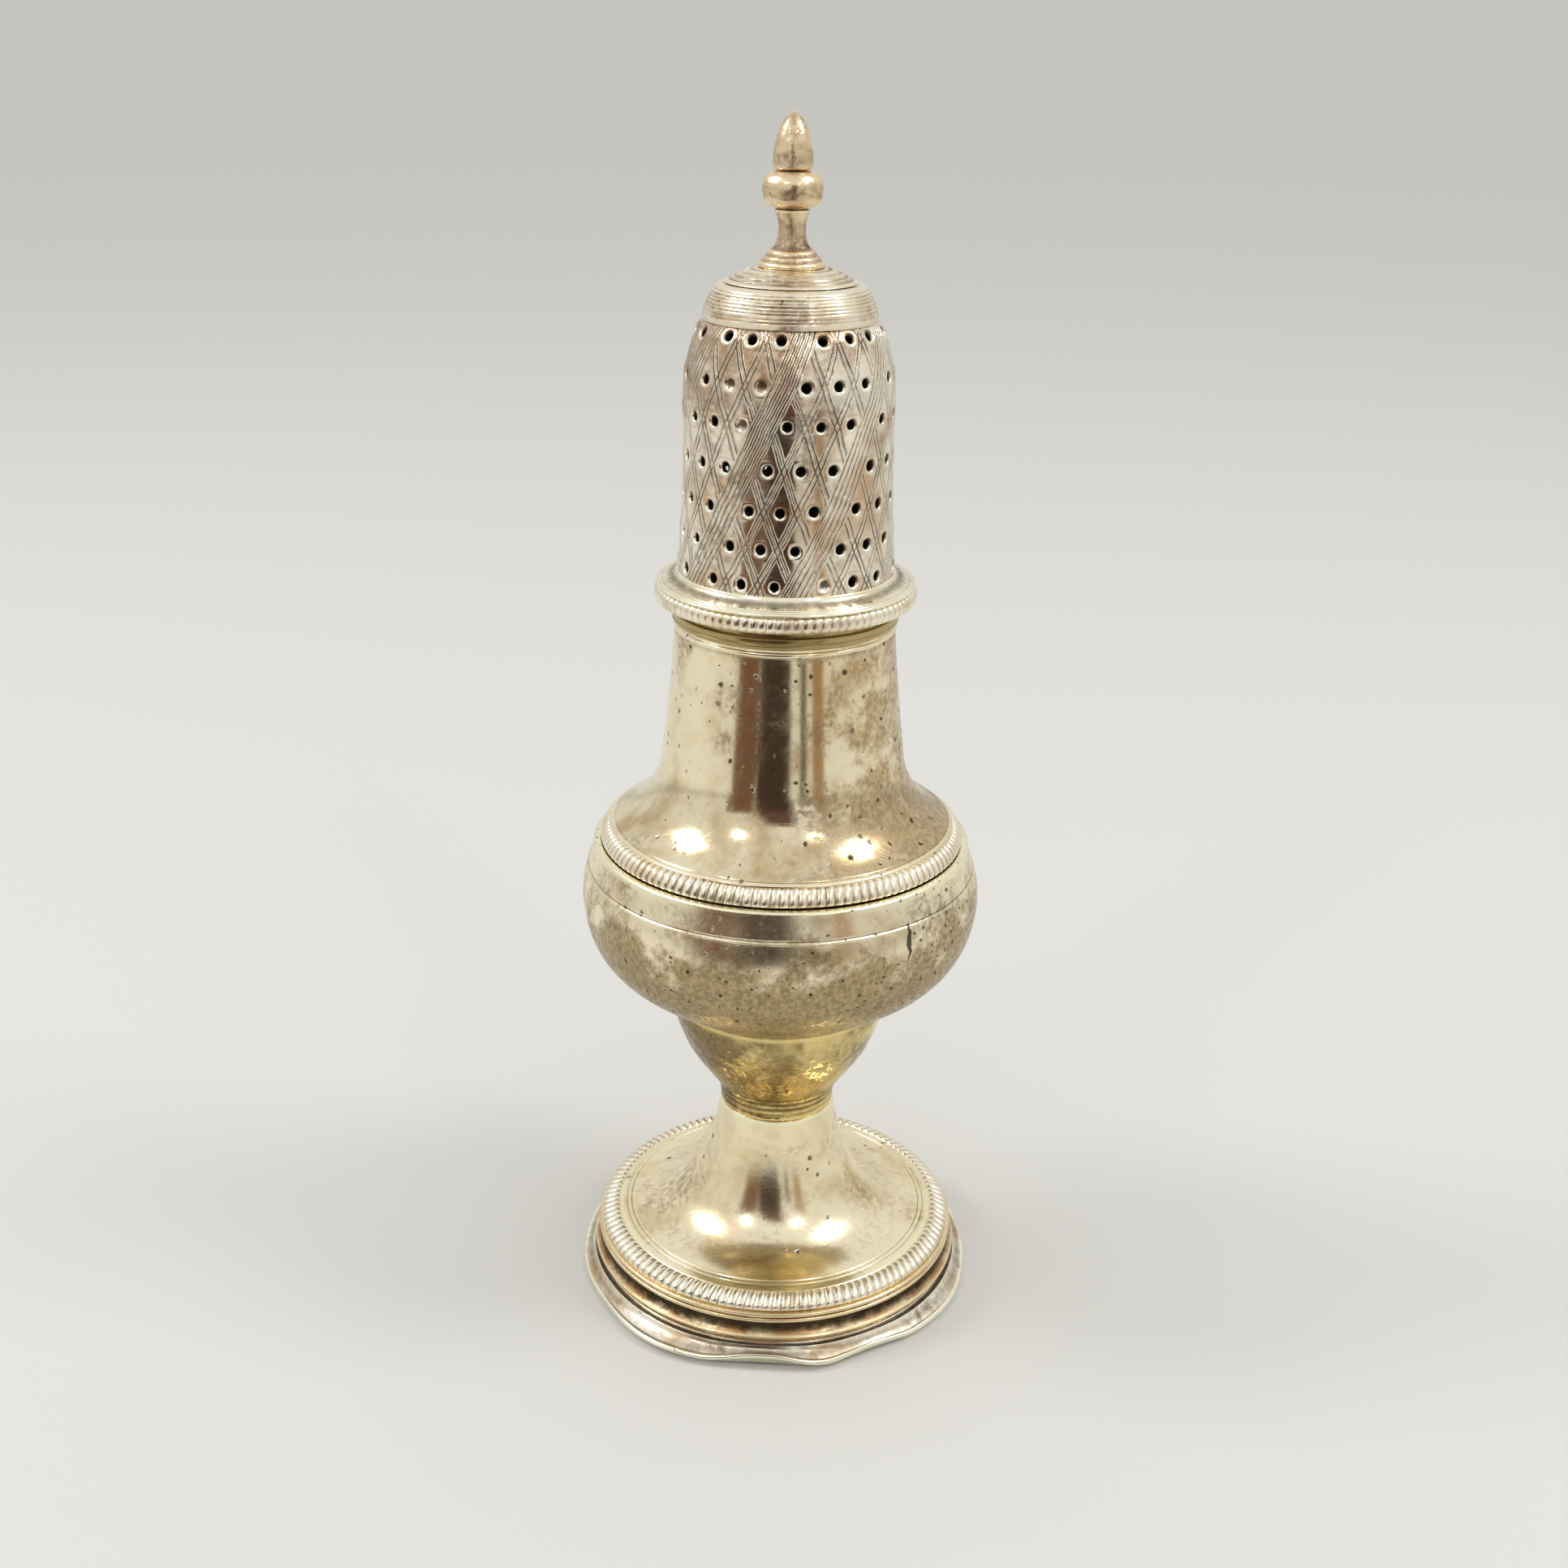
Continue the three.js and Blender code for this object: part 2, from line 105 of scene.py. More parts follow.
# The relief on two sides paints light: raised on the lit side of each burr for a painted highlight,
# lowered on the shaded side for painted shade.
BURR_RINGS = {  # ring of the grid: radius, height, relief on two sides, how far it is drawn
    3: (HOLE_D / 2, -0.17, -0.02, -0.1, 1.0),
    4: (0.62, -0.04, 0.13, -0.09, 1.0),
    5: (0.82, 0.05, 0.09, -0.01, 1.0),
    6: (1.05, 0.0, 0.0, 0.0, 0.5),
}
GOUGE_PLACE = (38, 54.0)  # degrees from the front, height
RIPPLE_WAVES = 7

# How finely the surfaces are cut up
TURNS = 192  # steps round a turned piece
FINE_STEP = 0.04
LINE_STEP = 0.05
WALL_STEP = 0.1
BROAD = 0.5  # width of the bell that gives the relief and the inside of a sheet
BEAD_STEPS = 12
SECTION_STEPS = 28
SLEEVE_COLUMNS = 432
SLEEVE_STEP = 0.176
COARSER = 3  # how many steps of the sleeve's outside make one of its inside
NO_TRIANGLES = np.zeros((0, 3), int)


def extent(node):
    """Widest radius, bottom and top of a CAD node, in millimetres."""
    low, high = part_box(node)
    return high.x / MM, low.z / MM, high.z / MM


# ---- outlines ----


def curve(start, pull_a, pull_b, end, steps=40):
    """Cubic curve between two places; the pulls are shares of the way across and up."""
    start, end = np.array(start, float), np.array(end, float)
    across = end - start
    a, b = start + across * pull_a, start + across * pull_b
    t = np.linspace(0, 1, steps)[:, None]
    return (1 - t) ** 3 * start + 3 * t * (1 - t) ** 2 * a + 3 * t**2 * (1 - t) * b + t**3 * end


def half_round(start, end, proud, steps=12):
    """Half-round reed from one place to another, standing out to the right of the way by proud."""
    start, end = np.array(start, float), np.array(end, float)
    along = end - start
    side = np.array([along[1], -along[0]]) / np.hypot(*along)
    t = np.linspace(0, math.pi, steps)[:, None]
    return start + along * (1 - np.cos(t)) / 2 + side * proud * np.sin(t)


def line(*parts):
    """Places and curves joined into one outline."""
    return np.concatenate([np.atleast_2d(np.array(part, float)) for part in parts])


def steps(corner, *ways):
    """Places given by their ways from one corner, outwards and up."""
    return np.array(corner) + np.array(ways)


def lengths(points):
    """How far along a line each of its points lies."""
    return np.r_[0, np.cumsum(np.hypot(*np.diff(points, axis=0).T))]


def evenly(points, step):
    """The same line, with points at even steps along it."""
    apart = np.hypot(*np.diff(points, axis=0).T)
    points = points[np.r_[True, apart > 1e-6]]
    run = lengths(points)
    at = np.linspace(0, run[-1], max(8, int(run[-1] / step)) + 1)
    return np.stack([np.interp(at, run, column) for column in points.T], 1)


def softened(points, width, step, ends="free"):
    """Each point moved to the bell-weighted mean of its neighbours within about that width. The
    line closes on itself (ring), is mirrored in the axis (axis) or is carried on straight."""
    reach = int(math.ceil(3 * width / step))
    bell = np.exp(-0.5 * (np.arange(-reach, reach + 1) * step / width) ** 2)
    bell /= bell.sum()
    before, after = points[reach:0:-1], points[-2 : -reach - 2 : -1]
    if ends == "ring":
        before, after = points[-reach - 1 : -1], points[1 : reach + 1]
    elif ends == "axis":
        before, after = before * [-1, 1], after * [-1, 1]
    else:
        before, after = 2 * points[0] - before, 2 * points[-1] - after
    long = np.concatenate([before, points, after])
    return np.stack([np.convolve(column, bell, "valid") for column in long.T], 1)


def sideways(points, closed=False):
    """Unit vectors to the right of the way along a line: outwards, where it runs bottom to top."""
    if closed:
        ring = np.concatenate([points[-2:-1], points, points[1:2]])
        way = ring[2:] - ring[:-2]
    else:
        way = np.gradient(points, axis=0)
    way /= np.maximum(np.hypot(*way.T), 1e-9)[:, None]
    return np.stack([way[:, 1], -way[:, 0]], 1)


def grooved(points, grooves):
    """A line with V-shaped grooves, each given by its height, half width and depth."""
    side = sideways(points)
    for level, half, deep in grooves:
        notch = np.clip(1 - np.abs(points[:, 1] - level) / half, 0, 1)
        points = points - side * (deep * notch)[:, None]
    return points


def polished(points, closed=True, edge=0.07, coarse=0.55, turn=9.0):
    """An outline as metal shows it: corners rounded by about edge, points close together where
    it turns (turn degrees apart) and coarse apart where it is straight. Also gives the relief:
    how far each point stands out (+) or lies back (-) from the broadly smoothed outline."""
    ends = "ring" if closed else "axis"
    if closed:
        points = np.concatenate([points, points[:1]])
    fine = softened(evenly(points, FINE_STEP), edge, FINE_STEP, ends)
    side = sideways(fine, closed)
    relief = ((fine - softened(fine, BROAD, FINE_STEP, ends)) * side).sum(1)
    cross = side[:-1, 0] * side[1:, 1] - side[:-1, 1] * side[1:, 0]
    bend = np.abs(np.degrees(np.arctan2(cross, (side[:-1] * side[1:]).sum(1))))
    cost = np.r_[0, np.cumsum(FINE_STEP / coarse + bend / turn)]
    at = np.linspace(0, cost[-1], int(math.ceil(cost[-1])) + 1)
    if closed:
        at = at[:-1]
    place = np.interp(at, cost, np.arange(len(fine)))
    return [np.interp(place, np.arange(len(fine)), column) for column in (*fine.T, relief)]


def walled(*parts):
    """A sheet of even thickness behind an outer line: the line and then its smoothed inside."""
    outer = line(*parts)
    smooth = softened(evenly(outer, WALL_STEP), BROAD, WALL_STEP)
    inner = smooth - sideways(smooth) * SHEET
    return line(outer, inner[::-1])


# ---- surfaces ----


def surface(name, places, relief, quads, triangles=NO_TRIANGLES, wrap=None):
    """Makes a smooth mesh object from places in millimetres and whole arrays of faces. Wrap
    gives each place a share of the way round and a level; where a face passes the end of a
    turn, its shares go on above 1."""
    used = np.unique(np.r_[quads.ravel(), triangles.ravel()])
    renumber = np.zeros(len(places), int)
    renumber[used] = np.arange(len(used))
    corners = renumber[np.r_[quads.ravel(), triangles.ravel()]]
    sizes = np.r_[np.full(len(quads), 4), np.full(len(triangles), 3)]
    mesh = bpy.data.meshes.new(name)
    mesh.vertices.add(len(used))
    mesh.vertices.foreach_set("co", (places[used] * MM).astype(np.float32).ravel())
    mesh.loops.add(len(corners))
    mesh.loops.foreach_set("vertex_index", corners.astype(np.int32))
    mesh.polygons.add(len(sizes))
    starts = np.r_[0, np.cumsum(sizes)[:-1]]
    mesh.polygons.foreach_set("loop_start", starts.astype(np.int32))
    mesh.polygons.foreach_set("use_smooth", np.ones(len(sizes), bool))
    layer = mesh.attributes.new("relief", "FLOAT", "POINT")
    layer.data.foreach_set("value", relief[used].astype(np.float32))
    if wrap is not None:
        across, up = wrap[0][used][corners], wrap[1][used][corners]
        face = np.repeat(np.arange(len(sizes)), sizes)
        highest = np.zeros(len(sizes))
        np.maximum.at(highest, face, across)
        across = across + (across < highest[face] - 0.5)
        layer = mesh.uv_layers.new(name="wrap")
        layer.data.foreach_set("uv", np.stack([across, up], 1).astype(np.float32).ravel())
    mesh.update(calc_edges=True)
    mesh.validate()
    return linked(name, mesh)


def linked(name, data):
    """Puts an object of that data into the scene."""
    made = bpy.data.objects.new(name, data)
    bpy.context.collection.objects.link(made)
    return made


def upright(angle, radius, height):
    """Places of points at an angle from the front, a distance from the axis and a height."""
    return np.stack([radius * np.sin(angle), -radius * np.cos(angle), height + 0 * angle], -1)


def ripple(angle, height, seed, depth):
    """Low, broad unevenness of hand-raised sheet: a sum of cosines of angle and height, each
    the lower the shorter its wave."""
    rng = np.random.default_rng(seed)
    total = 0 * angle + 0 * height
    for _ in range(RIPPLE_WAVES):
        around = rng.integers(2, 9)
        up = rng.uniform(-0.45, 0.45)
        wave = np.cos(around * angle + up * height + rng.uniform(0, 7))
        total = total + wave / (around + 6 * abs(up)) ** 0.5
    return depth * total / RIPPLE_WAVES**0.5


def net(columns, count, k, after):
    """Faces between neighbouring columns of a grid that closes round the axis, with count
    points in a column: each face goes from the points k to the points after."""
    i = np.arange(columns)[:, None]
    beside = (i + 1) % columns
    corners = [i * count + k, beside * count + k, beside * count + after, i * count + after]
    return np.stack(corners, -1)


def turned(name, *parts, closed=True, turns=TURNS, uneven=0.0, seed=1, bend=None, **finish):
    """Outline turned round the axis: place(angle, k) = (r_k sin a, -r_k cos a, z_k), with r
    uneven by a ripple of angle and height that fades out at the axis, and bent by a further
    function where one is given."""
    radius, height, relief = polished(line(*parts), closed, **finish)
    if not closed:
        radius[0] = radius[-1] = 0
    count = len(radius)
    angle = np.arange(turns)[:, None] * (2 * math.pi / turns)
    r, z = radius + 0 * angle, height + 0 * angle
    if uneven:
        r = r + ripple(angle, z, seed, uneven) * np.clip(r / 4, 0, 1)
    if bend:
        r, z = bend(angle, r, z)
    places = upright(angle + 0 * r, r, z).reshape(-1, 3)
    relief = np.tile(relief, turns)
    if closed:
        k = np.arange(count)
        return surface(name, places, relief, net(turns, count, k, (k + 1) % count).reshape(-1, 4))
    k = np.arange(1, count - 2)
    quads = net(turns, count, k, k + 1).reshape(-1, 4)
    i = np.arange(turns)
    first, beside = i * count, (i + 1) % turns * count
    low = np.stack([0 * i, beside + 1, first + 1], 1)
    high = np.stack([0 * i + count - 1, first + count - 2, beside + count - 2], 1)
    return surface(name, places, relief, quads, np.concatenate([low, high]))


def bead_wire(name, middle, half, slope, beads, deep, slant, seed):
    """Beaded wire, pressed flat: a ring whose section is a superellipse (its half lengths along
    the slope and across it) and whose outer face is cut by narrow grooves where
    sin(beads * a / 2 + slant) is 0, each a little different and worn more on one side."""
    around = beads * BEAD_STEPS
    angle = np.arange(around)[:, None] * (2 * math.pi / around)
    turn = np.arange(SECTION_STEPS) * (2 * math.pi / SECTION_STEPS)
    rng = np.random.default_rng(seed)
    each = np.repeat(rng.uniform(0.75, 1.0, beads), BEAD_STEPS)[:, None]
    worn = each * (0.92 - 0.1 * np.sin(angle + seed) - 0.08 * np.sin(3 * angle))
    c, s = np.cos(turn), np.sin(turn)
    face = np.clip(s, 0, 1) ** 0.4
    swell = np.abs(np.sin(beads * angle / 2 + slant * c)) ** 0.7
    cut = deep * (1 - swell) * face * worn
    along = half[0] * np.sign(c) * np.abs(c) ** 0.85 * (1 - 0.08 * (1 - swell) * face)
    over = half[1] * np.sign(s) * np.abs(s) ** 0.85 - cut - 0.04 * face * (1 - each)
    tilt = math.radians(slope)
    r = middle[0] + along * math.cos(tilt) - over * math.sin(tilt)
    z = middle[1] + along * math.sin(tilt) + over * math.cos(tilt)
    places = upright(angle + 0 * r, r, z).reshape(-1, 3)
    k = np.arange(SECTION_STEPS)
    quads = net(around, SECTION_STEPS, k, (k + 1) % SECTION_STEPS).reshape(-1, 4)
    # The relief drops in the grooves between the beads and at the two ends of the section, where
    # the wire meets the parts beside it, so grime with painted shade darkens these creases.
    ends = 0.12 * (1 - face) * (s > -0.3)
    return surface(name, places, (0.1 - 1.5 * cut - ends).ravel(), quads)


# ---- the foot ----

wall_r, wall_z, wall_top = extent("foot_wall")
plate_r, plate_under, waist_z = extent("foot_trumpet")
rim_top = extent("foot_rim")[2]
rim_r = wall_r + RIM_LEDGE
wall_top_r = extent("foot_bead_wire")[0]
foot_wire_z = sum(extent("foot_bead_wire")[1:]) / 2
stem_r = 6.95


def rim_bend(angle, r, z):
    """The knocks of the rim: each lifts and spreads its edge by cosine-squared of the angle.
    Between them lies a low wave, a sine times a sine, and the edge lifts by a finer ripple."""
    degrees = np.degrees(angle)
    out, lift = 0 * angle, 0 * angle
    for middle, half, far, high in RIM_BENDS:
        apart = np.abs((degrees - middle + 180) % 360 - 180)
        share = np.where(apart < half, np.cos(np.radians(90) * np.minimum(apart / half, 1)) ** 2, 0)
        out, lift = out + RIM_SPREAD * far * share, lift + high * share
    reach = np.clip((r - wall_r) / RIM_LEDGE, 0, 1)
    wave = RIM_WAVE * np.sin(9 * angle + 1) * np.sin(4 * angle) - RIM_WAVE / 2
    lift = lift + RIM_RIPPLE * (1 + np.sin(13 * angle)) * reach
    return r + (out + wave) * reach, z + lift * reach


def foot_rim():
    """Flat flange with a turned edge: the underside, the edge bead, a fine line and the slope."""
    root = (wall_r + 0.22, rim_top - 0.1)
    return turned(
        "bent_foot_rim",
        curve((wall_r - SHEET, rim_top - SHEET), (0.6, 0.1), (0.75, 0.7), (rim_r - 1.3, 0.02)),
        (rim_r - 0.95, 0.0),
        curve((rim_r - 0.75, 0.08), (0.3, 0.5), (0.9, 0.7), (rim_r - 0.06, RIM_EDGE - 0.45), 12),
        half_round((rim_r - 0.02, RIM_EDGE - 0.4), (rim_r - 0.3, RIM_EDGE + 0.1), 0.1, 8),
        (rim_r - 0.48, RIM_EDGE + 0.08),
        curve((rim_r - 0.6, RIM_EDGE + 0.2), (0.5, 0.25), (0.85, 0.6), root),
        steps((wall_r, rim_top), (0.05, -0.32), (-0.3, -0.3), (-0.4, 0.08), (-SHEET, 0.08)),
        turns=360, edge=0.06, bend=rim_bend,
    )


def foot_wall():
    """Hollow-curved wall under two half-round reeds, its foot a fine edge over a fold, darkened
    by grime and painted shade in its hollow.
    """
    top, reeds, reed = wall_r - 0.8, wall_top - 0.95, 0.66
    fold_z = wall_z + 0.42
    return turned(
        "hollow_foot_wall",
        steps((wall_r, wall_z), (-SHEET, -0.15), (-0.35, -0.15)),
        steps((wall_r, fold_z), (-0.35, 0), (0.05, 0.1), (0.12, 0.26)),
        curve((wall_r - 0.03, fold_z + 0.42), (0.75, 0.3), (1, 0.6), (top, reeds)),
        half_round((top, reeds + 0.02), (top, reeds + reed - 0.02), 0.38),
        half_round((top, reeds + reed + 0.04), (top, reeds + 2 * reed), 0.34),
        (plate_r - SHEET, reeds + 2 * reed),
        (plate_r - SHEET, wall_top - SHEET),
        (top - SHEET, wall_top - SHEET),
        (top - SHEET, wall_z + 1.4),
        uneven=0.03, seed=11, edge=0.05,
    )


def foot_beads():
    """Wire on the foot's upper edge."""
    return bead_wire(
        "foot_beads", middle=(wall_top_r - 1.15, foot_wire_z - 0.05), half=(1.2, 0.6), slope=-27,
        beads=FOOT_BEADS, deep=0.28, slant=0.5, seed=51,
    )


def foot_trumpet():
    """Spun trumpet: a plain ring against the beads, two fine lines, then the sweep up."""
    band = plate_under + WIRE_D - 0.2
    stem = (stem_r, waist_z + 0.15)
    sheet = walled(
        (plate_r - 0.05, plate_under),
        steps((plate_r, band), (-0.05, -0.3), (-0.2, -0.16), (-0.97, 0.08)),
        steps((plate_r, band), (-1.06, -0.02), (-1.16, 0.15), (-1.55, 0.21)),
        steps((plate_r, band), (-1.64, 0.1), (-1.76, 0.28)),
        curve((plate_r - 2.4, band + 0.3), (0.57, 0.03), (0.84, 0.34), stem, 60),
    )
    return turned("foot_trumpet_sheet", sheet, uneven=0.035, seed=12, edge=0.045)


# ---- the body ----

calyx_r, calyx_z, calyx_top = extent("calyx")
bowl_r, bowl_z, bowl_edge = extent("bowl")
girdle_r, girdle_low, girdle_high = extent("girdle_bead_wire")
girdle_z = (girdle_low + girdle_high) / 2
shoulder_r, skirt_z, neck_top = extent("neck")
band_r, band_z, band_top = extent("neck_band")
shoulder_z = girdle_z + WIRE_D / 2 + 0.3
skirt_r = shoulder_r - 0.8


def calyx():
    """Inverted bell: throat, hip and edge. Turning lines, a sine of the height, show from its
    foot to above the throat, where they fade out."""
    throat, hip = (8.1, calyx_z + 3.7), (11.7, calyx_z + 9.5)
    outer = evenly(line(
        (stem_r, calyx_z - 0.15),
        curve((stem_r, calyx_z + 0.1), (0, 0.43), (0.25, 0.7), throat),
        curve(throat, (0.38, 0.33), (0.83, 0.67), hip)[1:],
        curve(hip, (0.45, 0.25), (0.95, 0.65), (calyx_r, calyx_top + 0.1))[1:],
    ), FINE_STEP)
    height = outer[:, 1]
    lathe = np.sin(height * LATHE_LINES) * np.clip((throat[1] + 2.6 - height) / 4.2, 0, 1)
    outer = outer + sideways(outer) * (LATHE_DEPTH * lathe)[:, None]
    return turned("calyx_bell", walled(outer), uneven=0.06, seed=21, edge=0.06)


def bowl():
    """Lower half of the body with an engraved line and its raised lip, closed below."""
    seat, widest = (calyx_r + 0.02, bowl_z - 0.08), (bowl_r, bowl_z + 13.6)
    outer = line(
        curve(seat, (0.4, 0.25), (0.97, 0.34), widest, 80),
        curve(widest, (0, 0.38), (0.62, 0.6), (bowl_r - 1.45, bowl_edge - 0.5), 60)[1:],
    )
    inner = walled(outer)[len(outer) :]
    ledge = skirt_r + 0.3
    lines = [(bowl_edge - under, half, deep) for under, half, deep in BOWL_LINES]
    return turned(
        "bowl_sheet",
        (0, bowl_z - 0.05),
        grooved(evenly(outer, LINE_STEP), lines),
        steps((bowl_r, bowl_edge), (-1.52, -0.15), (-1.75, 0.04), (-2.28, 0.08), (-2.4, -0.35)),
        steps((ledge, bowl_edge), (0, -0.35), (0, -SHEET)),
        inner[inner[:, 1] < bowl_edge - 1.3],
        (0, bowl_z + SHEET),
        closed=False, uneven=0.07, seed=22, edge=0.05,
    )


def girdle_beads():
    """Wire over the joint of bowl and neck."""
    return bead_wire(
        "girdle_beads", middle=(girdle_r - 0.85, girdle_z - 0.1), half=(1.12, 0.56), slope=-56,
        beads=GIRDLE_BEADS, deep=0.28, slant=0.4, seed=52,
    )


def neck():
    """Shoulder and neck in one: skirt, plain lip over the beads, hollow shoulder, taper, ridge."""
    top = band_r - 0.3
    lip, root = (shoulder_r, shoulder_z), (top + 1.54, shoulder_z + 7.8)
    sheet = walled(
        (skirt_r, skirt_z),
        (skirt_r, shoulder_z - 0.55),
        steps(lip, (-0.1, -0.45), (0.04, -0.3), (-0.05, -0.08), (-0.4, 0.14), (-0.5, 0.07)),
        steps(lip, (-0.6, 0.25)),
        curve((lip[0] - 0.75, lip[1] + 0.33), (0.56, 0.22), (0.9, 0.56), root, 60),
        curve(root, (0.4, 0.33), (0.78, 0.66), (top, neck_top - 0.8), 60)[1:],
        half_round((top + 0.01, neck_top - 0.75), (top + 0.01, neck_top - 0.25), 0.12, 8),
        steps((top, neck_top), (-0.12, -0.15), (-0.06, 0.1)),
    )
    return turned("neck_sheet", sheet, uneven=0.06, seed=23, edge=0.05)


def neck_band():
    """Plain rim band with rounded edges and a fine line low on it."""
    low, high = (band_r, band_z), (band_r, band_top)
    return turned(
        "neck_rim_band",
        steps(low, (-1.0, -0.2), (-0.3, -0.2), (-0.02, 0.02), (0, 0.34), (-0.14, 0.42)),
        steps(low, (-0.02, 0.52)),
        # The step in at the top makes a hollow in the relief, so the grime mask paints a dark line
        # of painted shade under the cover's wire.
        steps(high, (-0.05, -0.52), (-0.42, -0.42), (-0.42, 0), (-1.0, 0)),
        uneven=0.02, seed=24,
    )


# ---- the cover ----

bezel_r, bezel_z, bezel_top = extent("cover_bezel")
lip_r, flange_z, flange_top = extent("cover_flange")
sleeve_r, sleeve_z, sleeve_top = extent("pierced_sleeve")
dome_r, dome_z, dome_top = extent("reeded_dome")
cap_r, cap_z, cap_top = extent("stepped_cap")
cover_wire_r, cover_low, cover_high = extent("cover_bead_wire")
cover_wire_z = (cover_low + cover_high) / 2
sleeve_r -= 0.02


def cover_bezel():
    """Plain ring that pushes into the neck, drawn in a little at its mouth."""
    return turned(
        "bezel_ring",
        steps((bezel_r, bezel_z), (-SHEET, 0), (-0.25, 0), (0, 0.9)),
        steps((bezel_r, bezel_top), (0, 0), (-SHEET, 0)),
        uneven=0.02, seed=31,
    )


def cover_flange():
    """Web behind the wire, a lip flush with the beads, two fine lines, and a hollow curve."""
    bore, web, over = bezel_r + 0.3, cover_wire_r - 1.3, cover_wire_z + WIRE_D / 2
    lip, root = (lip_r, over), (sleeve_r + 0.12, flange_top + 0.1)
    return turned(
        "moulded_flange",
        (bore, flange_z),
        steps((web, flange_z), (-0.1, 0), (0, 0.2)),
        (web, over - 0.05),
        steps(lip, (-0.1, 0.02), (0.1, 0.16), (0.04, 0.34), (-0.14, 0.46), (-0.24, 0.4)),
        steps(lip, (-0.38, 0.56), (-0.52, 0.58), (-0.62, 0.52)),
        curve((lip_r - 0.74, over + 0.66), (0.5, 0.1), (0.92, 0.5), root),
        (sleeve_r - 0.1, flange_top + 0.2),
        (bore, flange_top + 0.2),
        uneven=0.02, seed=32, edge=0.04,
    )


def cover_beads():
    """Wire on the flange, nearly upright."""
    return bead_wire(
        "cover_beads", middle=(cover_wire_r - 0.72, cover_wire_z), half=(0.92, 0.7), slope=-86,
        beads=COVER_BEADS, deep=0.17, slant=0.4, seed=53,
    )


def sleeve_outline():
    """Outer line of the sleeve from its foot to the bend under the dome."""
    waist = (sleeve_r - 0.75, sleeve_z + 16.2)
    points = line(
        curve((sleeve_r, sleeve_z - 0.15), (0.7, 0.34), (0.85, 0.65), waist, 60),
        curve(waist, (-0.12, 0.46), (0, 0.63), (10.15, sleeve_top - 0.9), 60)[1:],
        (dome_r + 0.1, sleeve_top),
        (dome_r - 0.15, sleeve_top + 0.14),
    )
    return softened(evenly(points, LINE_STEP), 0.22, LINE_STEP)


def sleeve_holes(outline, run, heights):
    """One after the other, each hole's row, angle, length along the outline, radius there and
    growth, and whether it is stopped up."""
    rng = np.random.default_rng(5)
    middle = (HOLES_IN_GROUP - 1) / 2
    for row, height in enumerate(heights):
        for bunch in range(HOLE_GROUPS):
            for hole in range(HOLES_IN_GROUP):
                degrees = HOLE_START + row * HOLE_TWIST + bunch * 360 / HOLE_GROUPS
                degrees += (hole - middle) * HOLE_STEP + rng.uniform(-HOLE_ASIDE, HOLE_ASIDE)
                angle = math.radians(degrees) % (2 * math.pi)
                along = np.interp(height + rng.uniform(-HOLE_OFF, HOLE_OFF), outline[:, 1], run)
                radius = np.interp(along, run, outline[:, 0])
                grow = rng.uniform(1 - HOLE_GROWTH, 1 + HOLE_GROWTH)
                yield row, angle, along, radius, grow, (row, bunch, hole) in PLUGGED


def square_ring(size):
    """Ways (across, up) to the 8 * size places of a square ring, counter-clockwise from the
    one straight across."""
    k = np.arange(8 * size)
    side, rest = (k + size) // (2 * size) % 4, (k + size) % (2 * size) - size
    across = np.choose(side, [size + 0 * k, -rest, -size + 0 * k, rest])
    up = np.choose(side, [rest, size + 0 * k, -rest, -size + 0 * k])
    return across, up


def bridge(edge, back):
    """Triangles and quads between a ring of points and a coarser ring behind it."""
    o = [np.roll(edge, -n)[::COARSER] for n in range(4)]
    beside = np.roll(back, -1)
    triangles = [np.stack([o[0], o[1], back], 1), np.stack([o[2], o[3], beside], 1)]
    return np.concatenate(triangles), np.stack([o[1], o[2], beside, back], 1)


